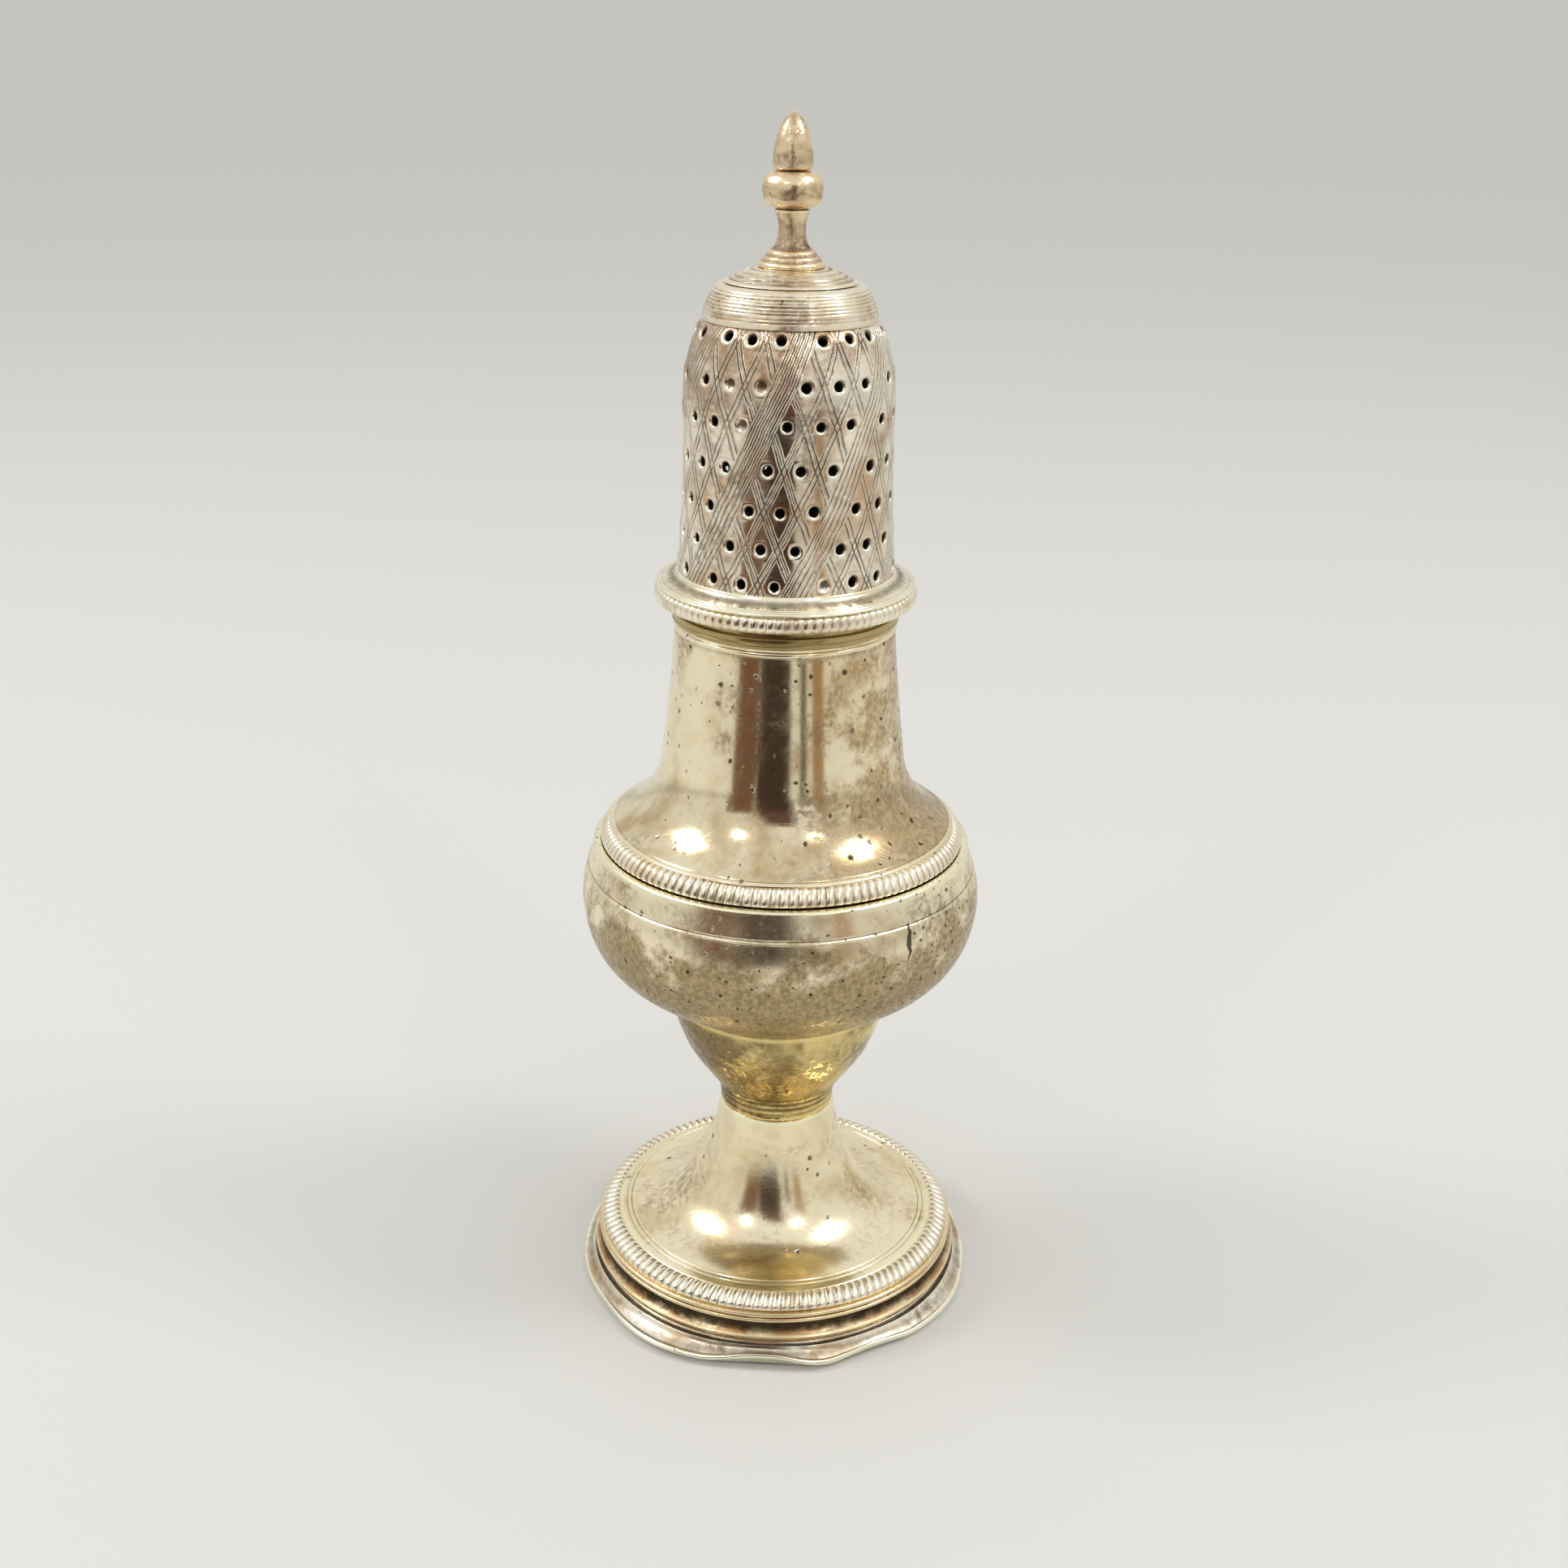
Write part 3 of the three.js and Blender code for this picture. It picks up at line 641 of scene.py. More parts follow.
def pierced_sleeve():
    """Sleeve as two grids, place(a, s) = outline(s) turned to a, outside and inside. Round each
    hole the square rings of the grid are drawn onto circles: the hole's edge, the crest of its
    burr and the burr's foot. The faces within are left out and a wall joins the two edges, or
    a cap of triangles closes the hole where it is stopped up."""
    outline = sleeve_outline()
    run = lengths(outline)
    side = sideways(outline)
    columns, rows = SLEEVE_COLUMNS, int(run[-1] / SLEEVE_STEP)
    in_columns, in_rows = columns // COARSER, rows // COARSER
    base = columns * (rows + 1)
    middles = base + in_columns * (in_rows + 1)

    def grid(across, up):
        a, s = np.arange(across) * 2 * math.pi / across, np.linspace(0, run[-1], up + 1)
        return np.meshgrid(a, s, indexing="ij")

    def settle(a, s, off):
        r, z = np.interp(s, run, outline[:, 0]), np.interp(s, run, outline[:, 1])
        out, up = np.interp(s, run, side[:, 0]), np.interp(s, run, side[:, 1])
        off = off + ripple(a, z, 33, 0.05)
        return upright(a, r + out * off, z + up * off).reshape(-1, 3), z.ravel()

    out_a, out_s = grid(columns, rows)
    in_a, in_s = grid(in_columns, in_rows)
    raised, relief = 0 * out_a, 0 * out_a
    open_out, open_in = np.ones((columns, rows), bool), np.ones((in_columns, in_rows), bool)
    triangles, walls, plugs = [], [], []
    lowest, highest = sleeve_z + HOLE_LOWEST, sleeve_top - HOLE_HIGHEST
    heights = lowest + (highest - lowest) * HOLE_ROWS
    for row, a0, s0, r0, grow, stopped in sleeve_holes(outline, run, heights):
        i0, j0 = round(a0 / (2 * math.pi) * columns), round(s0 / run[-1] * rows)
        for size, (far, high, lit, shaded, share) in BURR_RINGS.items():
            di, dj = square_ring(size)
            keep = (j0 + dj > 0) & (j0 + dj < rows)
            di, dj = di[keep], dj[keep]
            i, j = (i0 + di) % columns, j0 + dj
            way = np.arctan2(dj, di)
            a, s = a0 + far * grow * np.cos(way) / r0, s0 + far * grow * np.sin(way)
            plain_a = (i0 + di) * 2 * math.pi / columns
            out_a[i, j] = share * a + (1 - share) * plain_a
            out_s[i, j] = share * s + (1 - share) * out_s[i, j]
            raised[i, j] = high * (1 + 0.35 * np.cos(way + 1.6 + 0.7 * row))
            # Relief round the burr: a painted highlight on its lit side and painted shade on the
            # other.
            relief[i, j] = (lit + shaded) / 2 - (lit - shaded) / 2 * np.sin(way + 0.4)
        within = np.arange(-COARSER, COARSER)
        open_out[np.ix_((i0 + within) % columns, j0 + within)] = False
        di, dj = square_ring(COARSER)
        edge = (i0 + di) % columns * (rows + 1) + j0 + dj
        if stopped:
            middle = 0 * edge + middles + len(plugs)
            triangles.append(np.stack([edge, np.roll(edge, -1), middle], 1))
            plugs.append((a0, s0))
            continue
        i1, j1 = round(a0 / (2 * math.pi) * in_columns), round(s0 / run[-1] * in_rows)
        di, dj = square_ring(1)
        i, j = (i1 + di) % in_columns, j1 + dj
        way = np.arctan2(dj, di)
        in_a[i, j] = a0 + HOLE_D / 2 * np.cos(way) / r0
        in_s[i, j] = s0 + HOLE_D / 2 * np.sin(way)
        open_in[np.ix_((i1 + np.arange(-1, 1)) % in_columns, j1 + np.arange(-1, 1))] = False
        threes, fours = bridge(edge, base + i * (in_rows + 1) + j)
        triangles.append(threes)
        walls.append(fours)
    for out_row, in_row, order in ((0, 0, -1), (rows, in_rows, 1)):
        edge = np.arange(columns) * (rows + 1) + out_row
        threes, fours = bridge(edge, base + np.arange(in_columns) * (in_rows + 1) + in_row)
        triangles.append(threes[:, ::order])
        walls.append(fours[:, ::order])
    plug_a, plug_s = np.array(plugs).T
    front, front_z = settle(out_a, out_s, raised)
    rear, rear_z = settle(in_a, in_s, -SHEET)
    plug, plug_z = settle(plug_a, plug_s, -PLUG_DEEP)
    j, in_j = np.arange(rows), np.arange(in_rows)
    quads = net(columns, rows + 1, j, j + 1)[open_out]
    back = base + net(in_columns, in_rows + 1, in_j, in_j + 1)[open_in][:, [0, 3, 2, 1]]
    # The inside and the walls of the holes get a low relief, so they are painted dark: painted
    # shade inside the sleeve and its holes. The stopped holes lie a little less low, darkened by
    # dirt and shade.
    relief = np.r_[relief.ravel(), np.full(len(rear), -0.5), np.full(len(plug), -0.1)]
    turn = np.r_[out_a.ravel(), in_a.ravel(), plug_a] / (2 * math.pi) % 1.0
    beyond = 3 * (heights[1] - heights[0])
    level = np.interp(
        np.r_[front_z, rear_z, plug_z],
        np.r_[heights[0] - beyond, heights, heights[-1] + beyond],
        np.r_[-3, np.arange(len(heights)), len(heights) + 2],
    )
    return surface(
        "pierced_sleeve_sheet", np.concatenate([front, rear, plug]), relief,
        np.concatenate([quads, back, *walls]), np.concatenate(triangles), (turn, (level + 1) / 8),
    )


def reeded_dome():
    """Quarter round with pairs of fine turned lines, then a seat for the cap."""
    foot, top = (dome_r + 0.1, dome_z - 0.2), (cap_r + 0.3, cap_z - 0.1)
    lines = [(dome_z + (dome_top - dome_z) * up, DOME_LINE_HALF, deep) for up, deep in DOME_LINES]
    return turned(
        "reeded_dome_ring",
        (dome_r, dome_z - 0.24),
        grooved(evenly(curve(foot, (0.1, 0.45), (0.45, 0.9), top, 60), 0.03), lines),
        steps((cap_r, cap_z), (0.1, -0.05), (-0.08, -0.2), (-SHEET, -0.2)),
        (cap_r - SHEET, dome_top - SHEET),
        (dome_r - SHEET - 0.2, dome_z - 0.25),
        uneven=0.03, seed=34, edge=0.04,
    )


def stepped_cap():
    """Flared cap: its edge over the dome's groove, and fine steps up to the finial's foot."""

    def spot(inwards, share):
        return cap_r - inwards, cap_z + (cap_top - cap_z) * share

    return turned(
        "stepped_cap_plate",
        (1.1, cap_z - 0.1),
        steps((cap_r, cap_z), (-0.3, -0.1), (-0.12, -0.04), (-0.04, 0.06)),
        spot(0.25, 0.17),
        spot(0.7, 0.26),
        curve(spot(0.76, 0.2), (0.2, 0.6), (0.6, 0.85), spot(1.3, 0.48), 8),
        curve(spot(1.36, 0.42), (0.2, 0.6), (0.6, 0.85), spot(1.95, 0.74), 8),
        curve(spot(2.0, 0.68), (0.2, 0.6), (0.6, 0.9), spot(2.9, 0.98), 8),
        spot(3.0, 0.92),
        (3.8, cap_top + 0.1),
        (1.1, cap_top + 0.1),
        uneven=0.02, seed=35, edge=0.05,
    )


# ---- the finial ----

ring_r, tang_z, stem_top = extent("finial_stem")
cup_r, cup_z, cup_top = extent("acorn_cup")
nut_r, nut_z, tip_z = extent("acorn_nut")
finial_z = cap_top + 0.3
SOLID = {"closed": False, "turns": 96, "coarse": 0.3}  # the pieces that meet the axis


def finial_stem():
    """Turned stem: three rings, a curve in to the waist and out to the cup, on a tang."""
    waist = (1.45, finial_z + 3.85)
    return turned(
        "turned_finial_stem",
        (0, tang_z),
        (0.8, tang_z),
        (0.8, finial_z - 0.15),
        (ring_r - 0.1, finial_z - 0.2),
        half_round((ring_r - 0.02, finial_z - 0.12), (ring_r - 0.26, finial_z + 0.46), 0.1, 8),
        half_round((ring_r - 0.46, finial_z + 0.5), (ring_r - 0.72, finial_z + 1.02), 0.1, 8),
        half_round((ring_r - 0.92, finial_z + 1.06), (ring_r - 1.2, finial_z + 1.6), 0.1, 8),
        curve((ring_r - 1.4, finial_z + 1.66), (0.8, 0.15), (1, 0.6), waist),
        curve(waist, (0, 0.4), (0.6, 0.8), (1.95, stem_top + 0.1))[1:],
        (0, stem_top + 0.1),
        uneven=0.09, seed=41, edge=0.08, **SOLID,
    )


def acorn_cup():
    """Rough, round cup with a soft groove low on it."""
    groove_r, groove_z = cup_r - 0.12, cup_z + 1.35
    return turned(
        "acorn_cup_turned",
        (0, cup_z - 0.12),
        (1.7, cup_z - 0.12),
        curve((2.0, cup_z - 0.04), (0.75, 0.12), (1.05, 0.55), (groove_r, groove_z - 0.1)),
        curve((groove_r, groove_z + 0.1), (-0.28, 0.4), (0.05, 0.85), (2.2, cup_top)),
        (2.0, cup_top + 0.06),
        (0, cup_top + 0.1),
        uneven=0.16, seed=42, edge=0.12, **SOLID,
    )


def acorn_nut():
    """Pointed nut with a low ring at its foot."""
    return turned(
        "acorn_nut_turned",
        (0, nut_z - 0.15),
        (1.9, nut_z - 0.1),
        curve((nut_r - 0.03, nut_z + 0.1), (0, 0.46), (0.25, 0.81), (0.16, tip_z - 0.22)),
        (0, tip_z - 0.02),
        uneven=0.06, seed=43, edge=0.06, **SOLID,
    )


# ---- finishes ----


class Field:
    """One output of a shader node. A sign between fields and numbers adds a Math node."""

    def __init__(self, socket):
        self.socket, self.tree = socket, socket.id_data

    def __add__(self, other):
        return maths("ADD", self, other)

    def __radd__(self, other):
        return maths("ADD", other, self)

    def __sub__(self, other):
        return maths("SUBTRACT", self, other)

    def __rsub__(self, other):
        return maths("SUBTRACT", other, self)

    def __mul__(self, other):
        return maths("MULTIPLY", self, other)

    def __truediv__(self, other):
        return maths("DIVIDE", self, other)

    def __rtruediv__(self, other):
        return maths("DIVIDE", other, self)

    def __abs__(self):
        return maths("ABSOLUTE", self)


class Outputs:
    """The outputs of a shader node as fields, by name or number."""

    def __init__(self, made):
        self.made = made

    def __getitem__(self, key):
        return Field(self.made.outputs[key])


def node(tree, kind, values=None, **settings):
    """Adds a shader node, with settings on the node and values or fields on its inputs."""
    made = tree.nodes.new("ShaderNode" + kind)
    for key, value in settings.items():
        setattr(made, key, value)
    for key, value in (values or {}).items():
        if isinstance(value, Field):
            tree.links.new(value.socket, made.inputs[key])
        elif made.inputs[key].type == "RGBA":
            made.inputs[key].default_value = (*value, 1)
        else:
            made.inputs[key].default_value = value
    return Outputs(made)


def maths(operation, *values):
    """A Math node over fields and numbers."""
    tree = next(value.tree for value in values if isinstance(value, Field))
    return node(tree, "Math", dict(enumerate(values)), operation=operation)[0]


def ramp(value, low, high, to_low=0.0, to_high=1.0, way="LINEAR"):
    """A value carried from two limits to two others, and held beyond them."""
    given = {"Value": value, "From Min": low, "From Max": high, "To Min": to_low, "To Max": to_high}
    return node(value.tree, "MapRange", given, interpolation_type=way)["Result"]


def spread(*values):
    """As ramp, by a smooth step."""
    return ramp(*values, way="SMOOTHSTEP")


def mixed(share, a, b):
    """Colour a gone over to b by that share."""
    return node(share.tree, "Mix", {0: share, 6: a, 7: b}, data_type="RGBA")[2]


def scaled(place, factor):
    """A vector times a number."""
    return node(place.tree, "VectorMath", {0: place, 3: factor}, operation="SCALE")[0]


def moved(place, by):
    """A vector plus another, or plus a tuple of three numbers or fields."""
    if isinstance(by, tuple):
        by = node(place.tree, "CombineXYZ", dict(enumerate(by)))[0]
    return node(place.tree, "VectorMath", {0: place, 1: by}, operation="ADD")[0]


def noise(place, scale, detail, roughness=0.5, distortion=0.0, output="Fac"):
    """Layered noise around 0.5, its broadest waves one to each length 1 / scale."""
    given = {"Scale": scale, "Detail": detail, "Roughness": roughness, "Distortion": distortion}
    return node(place.tree, "TexNoise", {"Vector": place, **given})[output]


def group(work, **inputs):
    """Makes a shader node group of a function of fields. Its inputs are the place, in metres,
    which the function gets in millimetres, and those given here with their usual numbers (None
    is a vector). The function's answer names the outputs."""
    tree = bpy.data.node_groups.new(work.__name__.replace("_", " "), "ShaderNodeTree")
    for key, usual in {"place": None, **inputs}.items():
        kind = "NodeSocketVector" if usual is None else "NodeSocketFloat"
        socket = tree.interface.new_socket(key, in_out="INPUT", socket_type=kind)
        if usual is not None:
            socket.default_value = usual
    into = Outputs(tree.nodes.new("NodeGroupInput"))
    answer = work(scaled(into["place"], 1 / MM), **{key: into[key] for key in inputs})
    for key in answer:
        tree.interface.new_socket(key, in_out="OUTPUT", socket_type="NodeSocketFloat")
    out = tree.nodes.new("NodeGroupOutput")
    for key, field in answer.items():
        tree.links.new(field.socket, out.inputs[key])
    return tree


def placed(which, place, **values):
    """Puts a group into a material with its own values."""
    return node(place.tree, "Group", {"place": place, **values}, node_tree=which)


def tarnish_clouds(place, size, cover, edge, seed):
    """Soft patches: broad noise, broken up at its edges by finer noise."""
    place = moved(place, (seed, 3.1, seed))
    scale = 1.0 / size
    broad, fine = noise(place, scale, 3.0, 0.55, 0.4), noise(place, scale * 7.0, 4.0, 0.65)
    level = ramp(1.0 - cover, 0.0, 1.0, 0.3, 0.7)
    return {"mask": spread(broad * 0.82 + fine * 0.18, level - edge, level + edge)}


def pitting(place, spacing, share, size, seed):
    """Small dark pits: one in some of the cells of a scattered pattern, of uneven size."""
    place = moved(place, scaled(noise(place, 2.2, 2.0, output="Color"), 0.35))
    place = moved(place, (seed, seed, 1.7))
    cells = node(place.tree, "TexVoronoi", {"Vector": place, "Scale": 1.0 / spacing})
    chance = node(place.tree, "SeparateColor", {0: cells["Color"]})
    size = size * (0.45 + chance[1])
    dot = ramp(cells["Distance"], size * 0.6, size, 1.0, 0.0)
    return {"mask": dot * maths("LESS_THAN", chance[0], share)}


def fine_scratches(place, density):
    """Hairlines in two slanting directions, and turning marks round the piece."""
    marks = []
    laid_out = ((0.6, (0.25, 3.2, 0.5)), (-0.9, (0.2, 3.6, 0.3)), (0.1, (0.12, 0.12, 6.0)))
    for turn, stretch in laid_out:
        given = {"Vector": place, "Rotation": (turn, turn * 0.7, turn * 1.7), "Scale": stretch}
        laid = node(place.tree, "Mapping", given)[0]
        marks.append(spread(noise(laid, 1.4, 3.0, 0.7), 0.57, 0.66))
    total = (marks[0] + marks[1] + marks[2] * 0.5) * density
    return {"height": total * -1.0, "mask": maths("MINIMUM", total, 1.0)}


def hollows_and_ridges(place, relief, depth):
    """From the relief (mm): grime with painted shade where it is low, and wear with a painted
    sheen where it is high.
    """
    level = relief + (noise(place, 1.1, 4.0, 0.7) - 0.5) * depth
    down = depth * -1.0
    grime_and_shade = ramp(level, down, down * 0.15, 1.0, 0.0)
    return {"grime_and_shade": grime_and_shade, "wear": ramp(level, depth * 0.2, depth)}


def engraved_lines(place, wrap, width):
    """Cuts of the sleeve. With t the row of holes as a number that grows upwards, and u the
    angle from the middle of a group of holes in steps between holes, less the twist: cuts lie
    in pairs where u = +-1/2 and where u + t = a whole number and a half, and five single cuts
    lie side by side in the plain band between two groups. Cut is the groove, painted dark with
    dirt and painted shade; edge is the metal pushed up beside it, brightened as a painted
    highlight."""
    parts = node(place.tree, "SeparateXYZ", {0: wrap})
    t = parts[1] * 8.0 - 1.0
    shake = (noise(place, 0.4, 2.0) - 0.5) * 2.2
    group_width = 360.0 / HOLE_GROUPS
    step_mm, lean, pair_half = 3.6, 0.92, 0.27
    band_half, band_step = 0.46, 0.18
    w = parts[0] * 360.0 + shake - HOLE_START - t * HOLE_TWIST + group_width * 10.5
    u = (maths("MODULO", w, group_width) - group_width / 2) / HOLE_STEP
    side = group_width / 2 / HOLE_STEP - abs(u)
    steep = abs(abs(u) - 0.5)
    slant = abs(maths("FRACT", u + t + 20.0) - 0.5)
    pair = [abs(near * (step_mm * lean) - pair_half) for near in (steep, slant)]
    band = abs(maths("FRACT", side / band_step + 0.5) - 0.5) * (band_step * step_mm)
    in_band = maths("LESS_THAN", side, band_half)
    off = maths("MINIMUM", *pair) * (1.0 - in_band) + band * in_band
    cut = spread(off, width * 0.3, width * 1.15, 1.0, 0.0)
    rise = spread(off, width * 0.8, width * 1.2)
    fall = spread(off, width * 1.35, width * 1.85, 1.0, 0.0)
    depth = spread(noise(place, 0.5, 4.0, 0.7), 0.32, 0.6, 0.35, 1.0) * spread(t, 6.62, 6.5)
    return {"cut": cut * depth, "edge": rise * fall * depth}


def darker_side(place, towards, shift, seed):
    """Darker, browner colour on one side or end, broken up: towards is its direction over a
    length in mm, and shift is added to the share of that length that a place lies that way."""
    both = {0: place, 1: towards}
    facing = node(place.tree, "VectorMath", both, operation="DOT_PRODUCT")["Value"]
    uneven = noise(moved(place, (seed, 0.0, seed)), 0.22, 5.0, 0.68)
    return {"mask": spread(facing + shift + (uneven - 0.5) * 3.4, 0.35, 1.1)}


def gouged_mark(place):
    """An old gouge in the bowl, right of the front: ragged, leaning and pointed at both ends."""
    parts = node(place.tree, "SeparateXYZ", {0: place})
    angle = maths("ARCTAN2", parts[0], parts[1] * -1.0)
    up = parts[2] - GOUGE_PLACE[1]
    across = (angle - math.radians(GOUGE_PLACE[0])) * bowl_r
    across = across - up * 0.12 + (noise(place, 0.9, 3.0) - 0.5)
    return {"mask": spread(0.42 - abs(up) * 0.16 - abs(across), 0.0, 0.12)}


CLOUDS = group(tarnish_clouds, size=8.0, cover=0.5, edge=0.15, seed=0.0)
PITS = group(pitting, spacing=1.2, share=0.3, size=0.2, seed=0.0)
SCRATCHES = group(fine_scratches, density=0.5)
RELIEF = group(hollows_and_ridges, relief=0.0, depth=0.08)
CUTS = group(engraved_lines, wrap=None, width=0.1)
DARKER_SIDE = group(darker_side, towards=None, shift=0.0, seed=0.0)
GOUGE = group(gouged_mark)

# Near-black of the grime in the hollows, which also paints the shade of creases and gaps.
GRIME_AND_SHADE_TONE = (0.05, 0.036, 0.02)
CUT_DIRT_AND_SHADE = (0.10, 0.06, 0.035)
GOUGE_TONE = (0.04, 0.03, 0.02)
PIT_TONE = (0.03, 0.022, 0.014)
HAIR_DEEP, MOTTLE_DEEP, PIT_DEEP, GOUGE_DEEP = 0.0025, 0.0035, 0.04, 0.2  # millimetres
CUT_DEEP, CUT_WIDTH, EDGE_HIGH = 0.08, 0.12, 0.03


def silver(name, clean, warm, brown, seed, patches=(0.5, 9.0), mottle=(0.4, 1.3),
           pits=(0.2, 1.3, 0.2), rough=0.2, grime_and_shade=(0.88, 0.08), side_darkening=None, dents=0.0,
           cut=False, gouge=False):
    """Worn silver. Over the clean metal lie a warm tarnish in patches (share, size), a darker,
    browner side or end (its direction over a length, its shift and strength), a fine brown mottle
    inside some of them (share, size), dark pits (share, spacing, size), grime with painted shade
    in the hollows (strength, depth) and bare bright metal on the ridges, in places a painted
    highlight. Dents is how deep the metal is beaten; cut and gouge add the engraving and the
    bowl's old mark. All lengths are in millimetres."""
    made = bpy.data.materials.new(name)
    made.use_nodes = True
    tree = made.node_tree
    shader = tree.nodes["Principled BSDF"]
    place = node(tree, "TexCoord")["Object"]
    relief = node(tree, "Attribute", attribute_name="relief")["Fac"]

    def clouds(size, cover, edge, seed):
        return placed(CLOUDS, place, size=size, cover=cover, edge=edge, seed=seed)["mask"]

    warm_mask = clouds(patches[1], patches[0], 0.13, seed)
    where = clouds(patches[1] * 1.4, mottle[0], 0.1, seed + 11.0)
    grain = clouds(mottle[1], 0.5, 0.1, seed + 5.0)
    if side_darkening:
        towards, shift, strength = side_darkening
        side_mask = placed(DARKER_SIDE, place, towards=towards, shift=shift, seed=seed)["mask"] * strength
        warm_mask = maths("MAXIMUM", warm_mask, side_mask)
        where = maths("MAXIMUM", where, side_mask * 0.7)
    brown_mask = where * grain
    crowd = clouds(patches[1] * 0.8, pits[0], 0.08, seed + 23.0)
    pit = placed(PITS, place, spacing=pits[1], share=0.45, size=pits[2], seed=seed)["mask"]
    pit = pit * (crowd * 0.9 + 0.04)
    marks = placed(SCRATCHES, place)
    edges = placed(RELIEF, place, relief=relief, depth=grime_and_shade[1])
    bright = [min(1, c * 1.12) for c in clean]
    colour = mixed(warm_mask, clean, warm)
    colour = mixed(brown_mask * 0.68, colour, brown)
    # Ridges rubbed bright, in places a painted highlight; hollows darkened by grime, in places
    # painted shade.
    colour = mixed(edges["wear"] * 0.7, colour, bright)
    colour = mixed(edges["grime_and_shade"] * grime_and_shade[0], colour, GRIME_AND_SHADE_TONE)
    height = marks["height"] * (HAIR_DEEP * MM)
    if dents:
        height = height + noise(place, 800.0, 2.0) * (dents * MM)
    if cut:
        wrap = node(tree, "UVMap", uv_map="wrap")[0]
        lines = placed(CUTS, place, wrap=wrap, width=CUT_WIDTH)
        # The raised edge beside each cut is a painted highlight; the cut itself is painted dark,
        # dirt with painted shade.
        colour = mixed(lines["edge"] * 0.75, colour, bright)
        colour = mixed(lines["cut"] * 0.8, colour, CUT_DIRT_AND_SHADE)
        height = height - lines["cut"] * (CUT_DEEP * MM) + lines["edge"] * (EDGE_HIGH * MM)
    if gouge:
        mark = placed(GOUGE, place)["mask"]
        colour = mixed(mark * 0.9, colour, GOUGE_TONE)
        height = height - mark * (GOUGE_DEEP * MM)
    colour = mixed(pit * 0.92, colour, PIT_TONE)
    height = height - pit * (PIT_DEEP * MM) - brown_mask * (MOTTLE_DEEP * MM)
    roughness = rough + warm_mask * 0.05 + brown_mask * 0.2 + marks["mask"] * 0.06
    roughness = roughness + edges["grime_and_shade"] * 0.35 + pit * 0.35
    bump = node(tree, "Bump", {"Height": height, "Strength": 1.0, "Distance": 1.0})[0]
    tree.links.new(colour.socket, shader.inputs["Base Color"])
    tree.links.new(roughness.socket, shader.inputs["Roughness"])
    tree.links.new(bump.socket, shader.inputs["Normal"])
    shader.inputs["Metallic"].default_value = 1.0
    return made


# The bowl grows darker and browner towards the bottom: painted shade of the lower bowl, with its
# tarnish mottle.
BODY = silver(
    "worn body silver", (0.95, 0.84, 0.61), (0.44, 0.33, 0.17), (0.13, 0.09, 0.045), seed=2.0,
    patches=(0.24, 11.0), mottle=(0.3, 0.6), pits=(0.6, 0.9, 0.24), rough=0.21,
    grime_and_shade=(0.7, 0.08), side_darkening=((0, 0, -0.115), 6.95, 0.9), dents=0.01, gouge=True,
)
# The neck is warmer and darker on its right side: a painted warm reflection.
NECK = silver(
    "worn neck silver", (0.90, 0.80, 0.57), (0.60, 0.44, 0.24), (0.17, 0.11, 0.06), seed=7.0,
    patches=(0.35, 9.0), mottle=(0.35, 0.7), pits=(0.6, 1.2, 0.24), rough=0.11,
    grime_and_shade=(0.75, 0.08), side_darkening=((0.075, -0.02, 0), 0, 0.9),
)
FOOT = silver(
    "warm foot silver", (0.96, 0.85, 0.60), (0.74, 0.60, 0.34), (0.30, 0.19, 0.09), seed=13.0,
    patches=(0.4, 9.0), mottle=(0.3, 0.8), pits=(0.4, 1.3, 0.24), rough=0.17,
    grime_and_shade=(0.85, 0.08), dents=0.012,
)
RIM = silver(
    "silver of the rim", (0.97, 0.89, 0.74), (0.70, 0.52, 0.33), (0.22, 0.13, 0.07), seed=14.0,
    patches=(0.38, 6.0), mottle=(0.3, 0.8), pits=(0.3, 1.3, 0.2), rough=0.17, dents=0.01,
)
WALL = silver(
    "browned foot silver", (0.84, 0.70, 0.45), (0.48, 0.28, 0.12), (0.16, 0.10, 0.05), seed=15.0,
    patches=(0.58, 5.0), mottle=(0.55, 0.8), pits=(0.3, 1.3, 0.2), rough=0.18,
    grime_and_shade=(0.95, 0.08), dents=0.015,
)
# The calyx is darker and browner on its left side: a painted dark reflection.
GOLDEN = silver(
    "golden tarnish", (0.80, 0.63, 0.28), (0.30, 0.22, 0.10), (0.14, 0.09, 0.04), seed=17.0,
    patches=(0.4, 5.0), mottle=(0.35, 0.7), pits=(0.3, 1.3, 0.2), rough=0.12,
    grime_and_shade=(0.8, 0.08), side_darkening=((-0.2, -0.02, 0), 0.05, 0.95), dents=0.22,
)
BAND = silver(
    "olive tarnish", (0.44, 0.34, 0.16), (0.24, 0.17, 0.07), (0.14, 0.09, 0.04), seed=19.0,
    mottle=(0.3, 1.3), pits=(0.1, 1.3, 0.2), grime_and_shade=(0.95, 0.08),
)
WIRE = silver(
    "beaded wire silver", (0.94, 0.85, 0.68), (0.78, 0.64, 0.44), (0.30, 0.20, 0.11), seed=29.0,
    patches=(0.3, 9.0), mottle=(0.2, 1.3), pits=(0.1, 1.3, 0.2), grime_and_shade=(0.7, 0.17),
)
FLANGE = silver(
    "cover foot silver", (0.95, 0.87, 0.69), (0.76, 0.63, 0.42), (0.24, 0.15, 0.08), seed=61.0,
    patches=(0.35, 6.0), mottle=(0.2, 0.8), rough=0.15, grime_and_shade=(0.85, 0.08),
)
COVER = silver(
    "cover silver", (0.91, 0.82, 0.66), (0.62, 0.46, 0.29), (0.20, 0.12, 0.06), seed=31.0,
    patches=(0.5, 4.0), mottle=(0.52, 0.8), pits=(0.25, 1.3, 0.2), rough=0.17,
    grime_and_shade=(0.85, 0.06), dents=0.01,
)
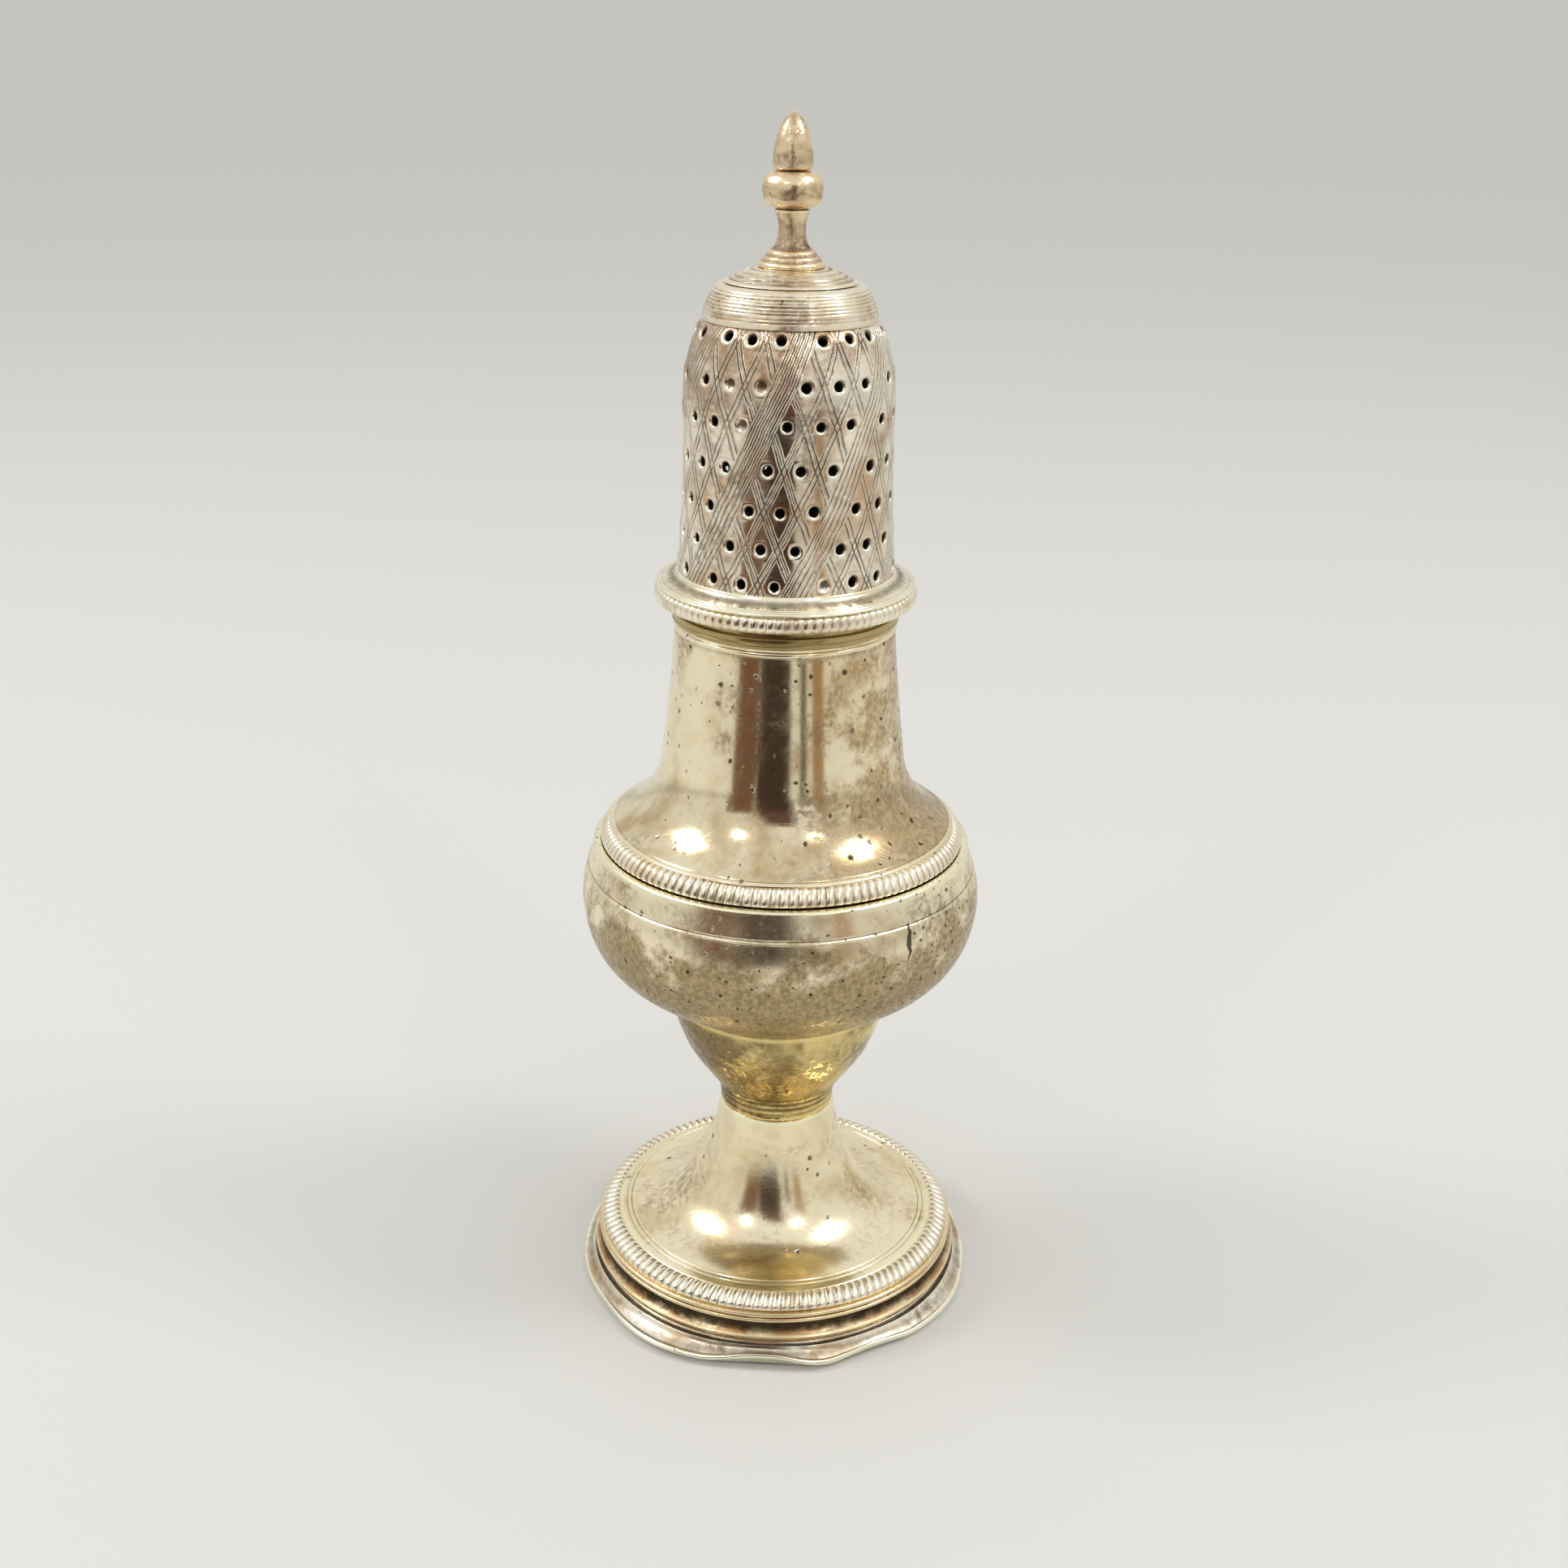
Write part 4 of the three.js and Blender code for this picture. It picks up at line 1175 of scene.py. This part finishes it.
# The sleeve grows darker and browner towards its top, a little more on the left.
ENGRAVED = silver(
    "engraved sleeve silver", (0.98, 0.89, 0.74), (0.62, 0.43, 0.27), (0.16, 0.08, 0.05),
    seed=37.0, patches=(0.4, 7.0), mottle=(0.35, 0.8), rough=0.11, grime_and_shade=(0.88, 0.09),
    side_darkening=((-0.05, -0.01, 0.09), -9.85, 0.9), cut=True,
)
FINIAL = silver(
    "finial silver", (0.84, 0.67, 0.45), (0.64, 0.48, 0.28), (0.22, 0.14, 0.08), seed=41.0,
    patches=(0.5, 2.6), mottle=(0.5, 0.6), rough=0.22, grime_and_shade=(0.8, 0.1), dents=0.12,
)
INNER = silver(
    "inner silver", (0.62, 0.56, 0.45), (0.50, 0.41, 0.28), (0.24, 0.17, 0.11), seed=47.0,
    patches=(0.6, 9.0), mottle=(0.5, 1.3), pits=(0.3, 1.3, 0.2), rough=0.36,
)

# ---- the pieces in their places ----

PIECES = [
    (foot_rim(), "foot_rim", "pot", "foot_silver", RIM),
    (foot_wall(), "foot_wall", "pot", "foot_silver", WALL),
    (foot_beads(), "foot_bead_wire", "pot", "bead_wire_silver", WIRE),
    (foot_trumpet(), "foot_trumpet", "pot", "foot_silver", FOOT),
    (calyx(), "calyx", "pot", "golden_silver", GOLDEN),
    (bowl(), "bowl", "pot", "body_silver", BODY),
    (girdle_beads(), "girdle_bead_wire", "pot", "bead_wire_silver", WIRE),
    (neck(), "neck", "pot", "body_silver", NECK),
    (neck_band(), "neck_band", "pot", "golden_silver", BAND),
    (cover_bezel(), "cover_bezel", "bezel", "inner_silver", INNER),
    (cover_flange(), "cover_flange", "cover", "cover_silver", FLANGE),
    (cover_beads(), "cover_bead_wire", "cover", "bead_wire_silver", WIRE),
    (pierced_sleeve(), "pierced_sleeve", "cover", "cover_silver", ENGRAVED),
    (reeded_dome(), "reeded_dome", "cover", "cover_silver", COVER),
    (stepped_cap(), "stepped_cap", "cover", "cover_silver", COVER),
    (finial_stem(), "finial_stem", "cover", "finial_silver", FINIAL),
    (acorn_cup(), "acorn_cup", "cover", "finial_silver", FINIAL),
    (acorn_nut(), "acorn_nut", "cover", "finial_silver", FINIAL),
]
for piece, stands_for, body, slot, finish in PIECES:
    piece.data.materials.append(finish)
    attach(piece, body)
    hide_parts(stands_for)

# ---- the floor, the light and the camera ----


def aside(azimuth, distance, height):
    """A place in that direction from the pot's axis, in metres."""
    turn = math.radians(azimuth)
    return distance * math.sin(turn), -distance * math.cos(turn), height


def flat(name, corners, finish, colour):
    """One flat face through those corners, in metres, of a dull colour."""
    mesh = bpy.data.meshes.new(name)
    mesh.from_pydata(corners, [], [list(range(len(corners)))])
    made = linked(name, mesh)
    dull = bpy.data.materials.new(finish)
    dull.use_nodes = True
    shader = dull.node_tree.nodes["Principled BSDF"]
    shader.inputs["Base Color"].default_value = (*colour, 1)
    shader.inputs["Roughness"].default_value = 0.9
    shader.inputs["Specular IOR Level"].default_value = 0.2
    mesh.materials.append(dull)
    return made


FLOOR_R, FLOOR_SIDES = 30.0, 96
floor_edge = [aside(90 + k * 360 / FLOOR_SIDES, FLOOR_R, 0.0) for k in range(FLOOR_SIDES)]
floor = flat("pale_floor", floor_edge, "pale floor", (0.66, 0.655, 0.63))


def card(name, distance, bottom, top, low, high, colour):
    """A dull card in front of the pot, which only the silver mirrors."""
    corners = [(low[0], bottom), (low[1], bottom), (high[1], top), (high[0], top)]
    made = flat(name, [aside(turn, distance, height) for turn, height in corners], name, colour)
    made.visible_camera = made.visible_diffuse = made.visible_shadow = False


CARDS = [  # name, distance, bottom, top (metres), sides at bottom and top (degrees), colour
    ("brown_card", 0.15, 0.022, 0.1, (-42, -23), (-48, -24), (0.20, 0.10, 0.055)),
    ("dark_card", 0.15, 0.022, 0.09, (-23, 3), (-22, 10), (0.055, 0.032, 0.024)),
    ("red_card", 0.15, 0.09, 0.135, (-22, 10), (-12, 12), (0.13, 0.06, 0.045)),
    ("far_red_card", 0.6, 0.1, 0.32, (-16, 10), (-10, 8), (0.12, 0.05, 0.04)),
    ("narrow_card", 0.15, 0.022, 0.07, (12, 18), (17, 23), (0.14, 0.10, 0.07)),
    ("amber_card", 0.15, 0.022, 0.095, (25, 35), (29, 41), (0.42, 0.27, 0.15)),
]
for values in CARDS:
    card(*values)


def lamp(name, azimuth, elevation, distance, size, power):
    """A soft square lamp in a direction seen from the pot's middle, facing it."""
    data = bpy.data.lights.new(name, "AREA")
    data.size, data.energy = size, power
    a, e = math.radians(azimuth), math.radians(elevation)
    way = np.array([math.sin(a) * math.cos(e), -math.cos(a) * math.cos(e), math.sin(e)])
    made = linked(name, data)
    made.location = way * distance + POT_MIDDLE
    made.rotation_euler = Vector(way).to_track_quat("Z", "Y").to_euler()


POT_MIDDLE = np.array([0, 0, 0.06])
LAMPS = [  # name, azimuth, elevation (degrees), distance, size (metres), power
    ("left_lamp", -92, 43, 0.8, 0.24, 1.6),
    ("right_lamp", 82, 50, 0.8, 0.24, 1.6),
    ("front_left_lamp", -39, 39, 0.9, 0.10, 0.3),
    ("front_right_lamp", 31, 40, 0.9, 0.10, 0.3),
]
for values in LAMPS:
    lamp(*values)


def studio_world():
    """Soft pale light from all round, a little brighter from above; the floor's tone behind."""
    world = bpy.data.worlds.new("studio")
    bpy.context.scene.world = world
    world.use_nodes = True
    tree = world.node_tree
    way = node(tree, "SeparateXYZ", {0: node(tree, "TexCoord")["Generated"]})
    sky = mixed(spread(way[2], 0.0, 0.9), (0.82, 0.81, 0.77), (0.95, 0.95, 0.93))
    seen = mixed(node(tree, "LightPath")["Is Camera Ray"], sky, (0.62, 0.615, 0.59))
    tree.links.new(seen.socket, tree.nodes["Background"].inputs["Color"])
    tree.nodes["Background"].inputs["Strength"].default_value = 0.9


CAMERA_PLACE = (0.00003, -0.2066, 0.1483)
CAMERA_LENS, CAMERA_SHIFT = 43.49, 0.001
CAMERA_DOWN, CAMERA_ROLL = 21.92, 1.03  # degrees


def photo_camera():
    """Camera as fitted to the rings of the pot, looking down on it and rolled a little."""
    data = bpy.data.cameras.new("camera")
    data.lens, data.sensor_width, data.shift_x = CAMERA_LENS, 36, CAMERA_SHIFT
    data.clip_start, data.clip_end = 0.01, 100
    made = linked("camera", data)
    turn = Euler((math.radians(90 - CAMERA_DOWN), 0, math.radians(CAMERA_ROLL)), "ZYX")
    made.matrix_world = Matrix.LocRotScale(Vector(CAMERA_PLACE), turn, None)
    bpy.context.scene.camera = made


studio_world()
photo_camera()
bpy.context.scene.view_settings.view_transform = "Standard"
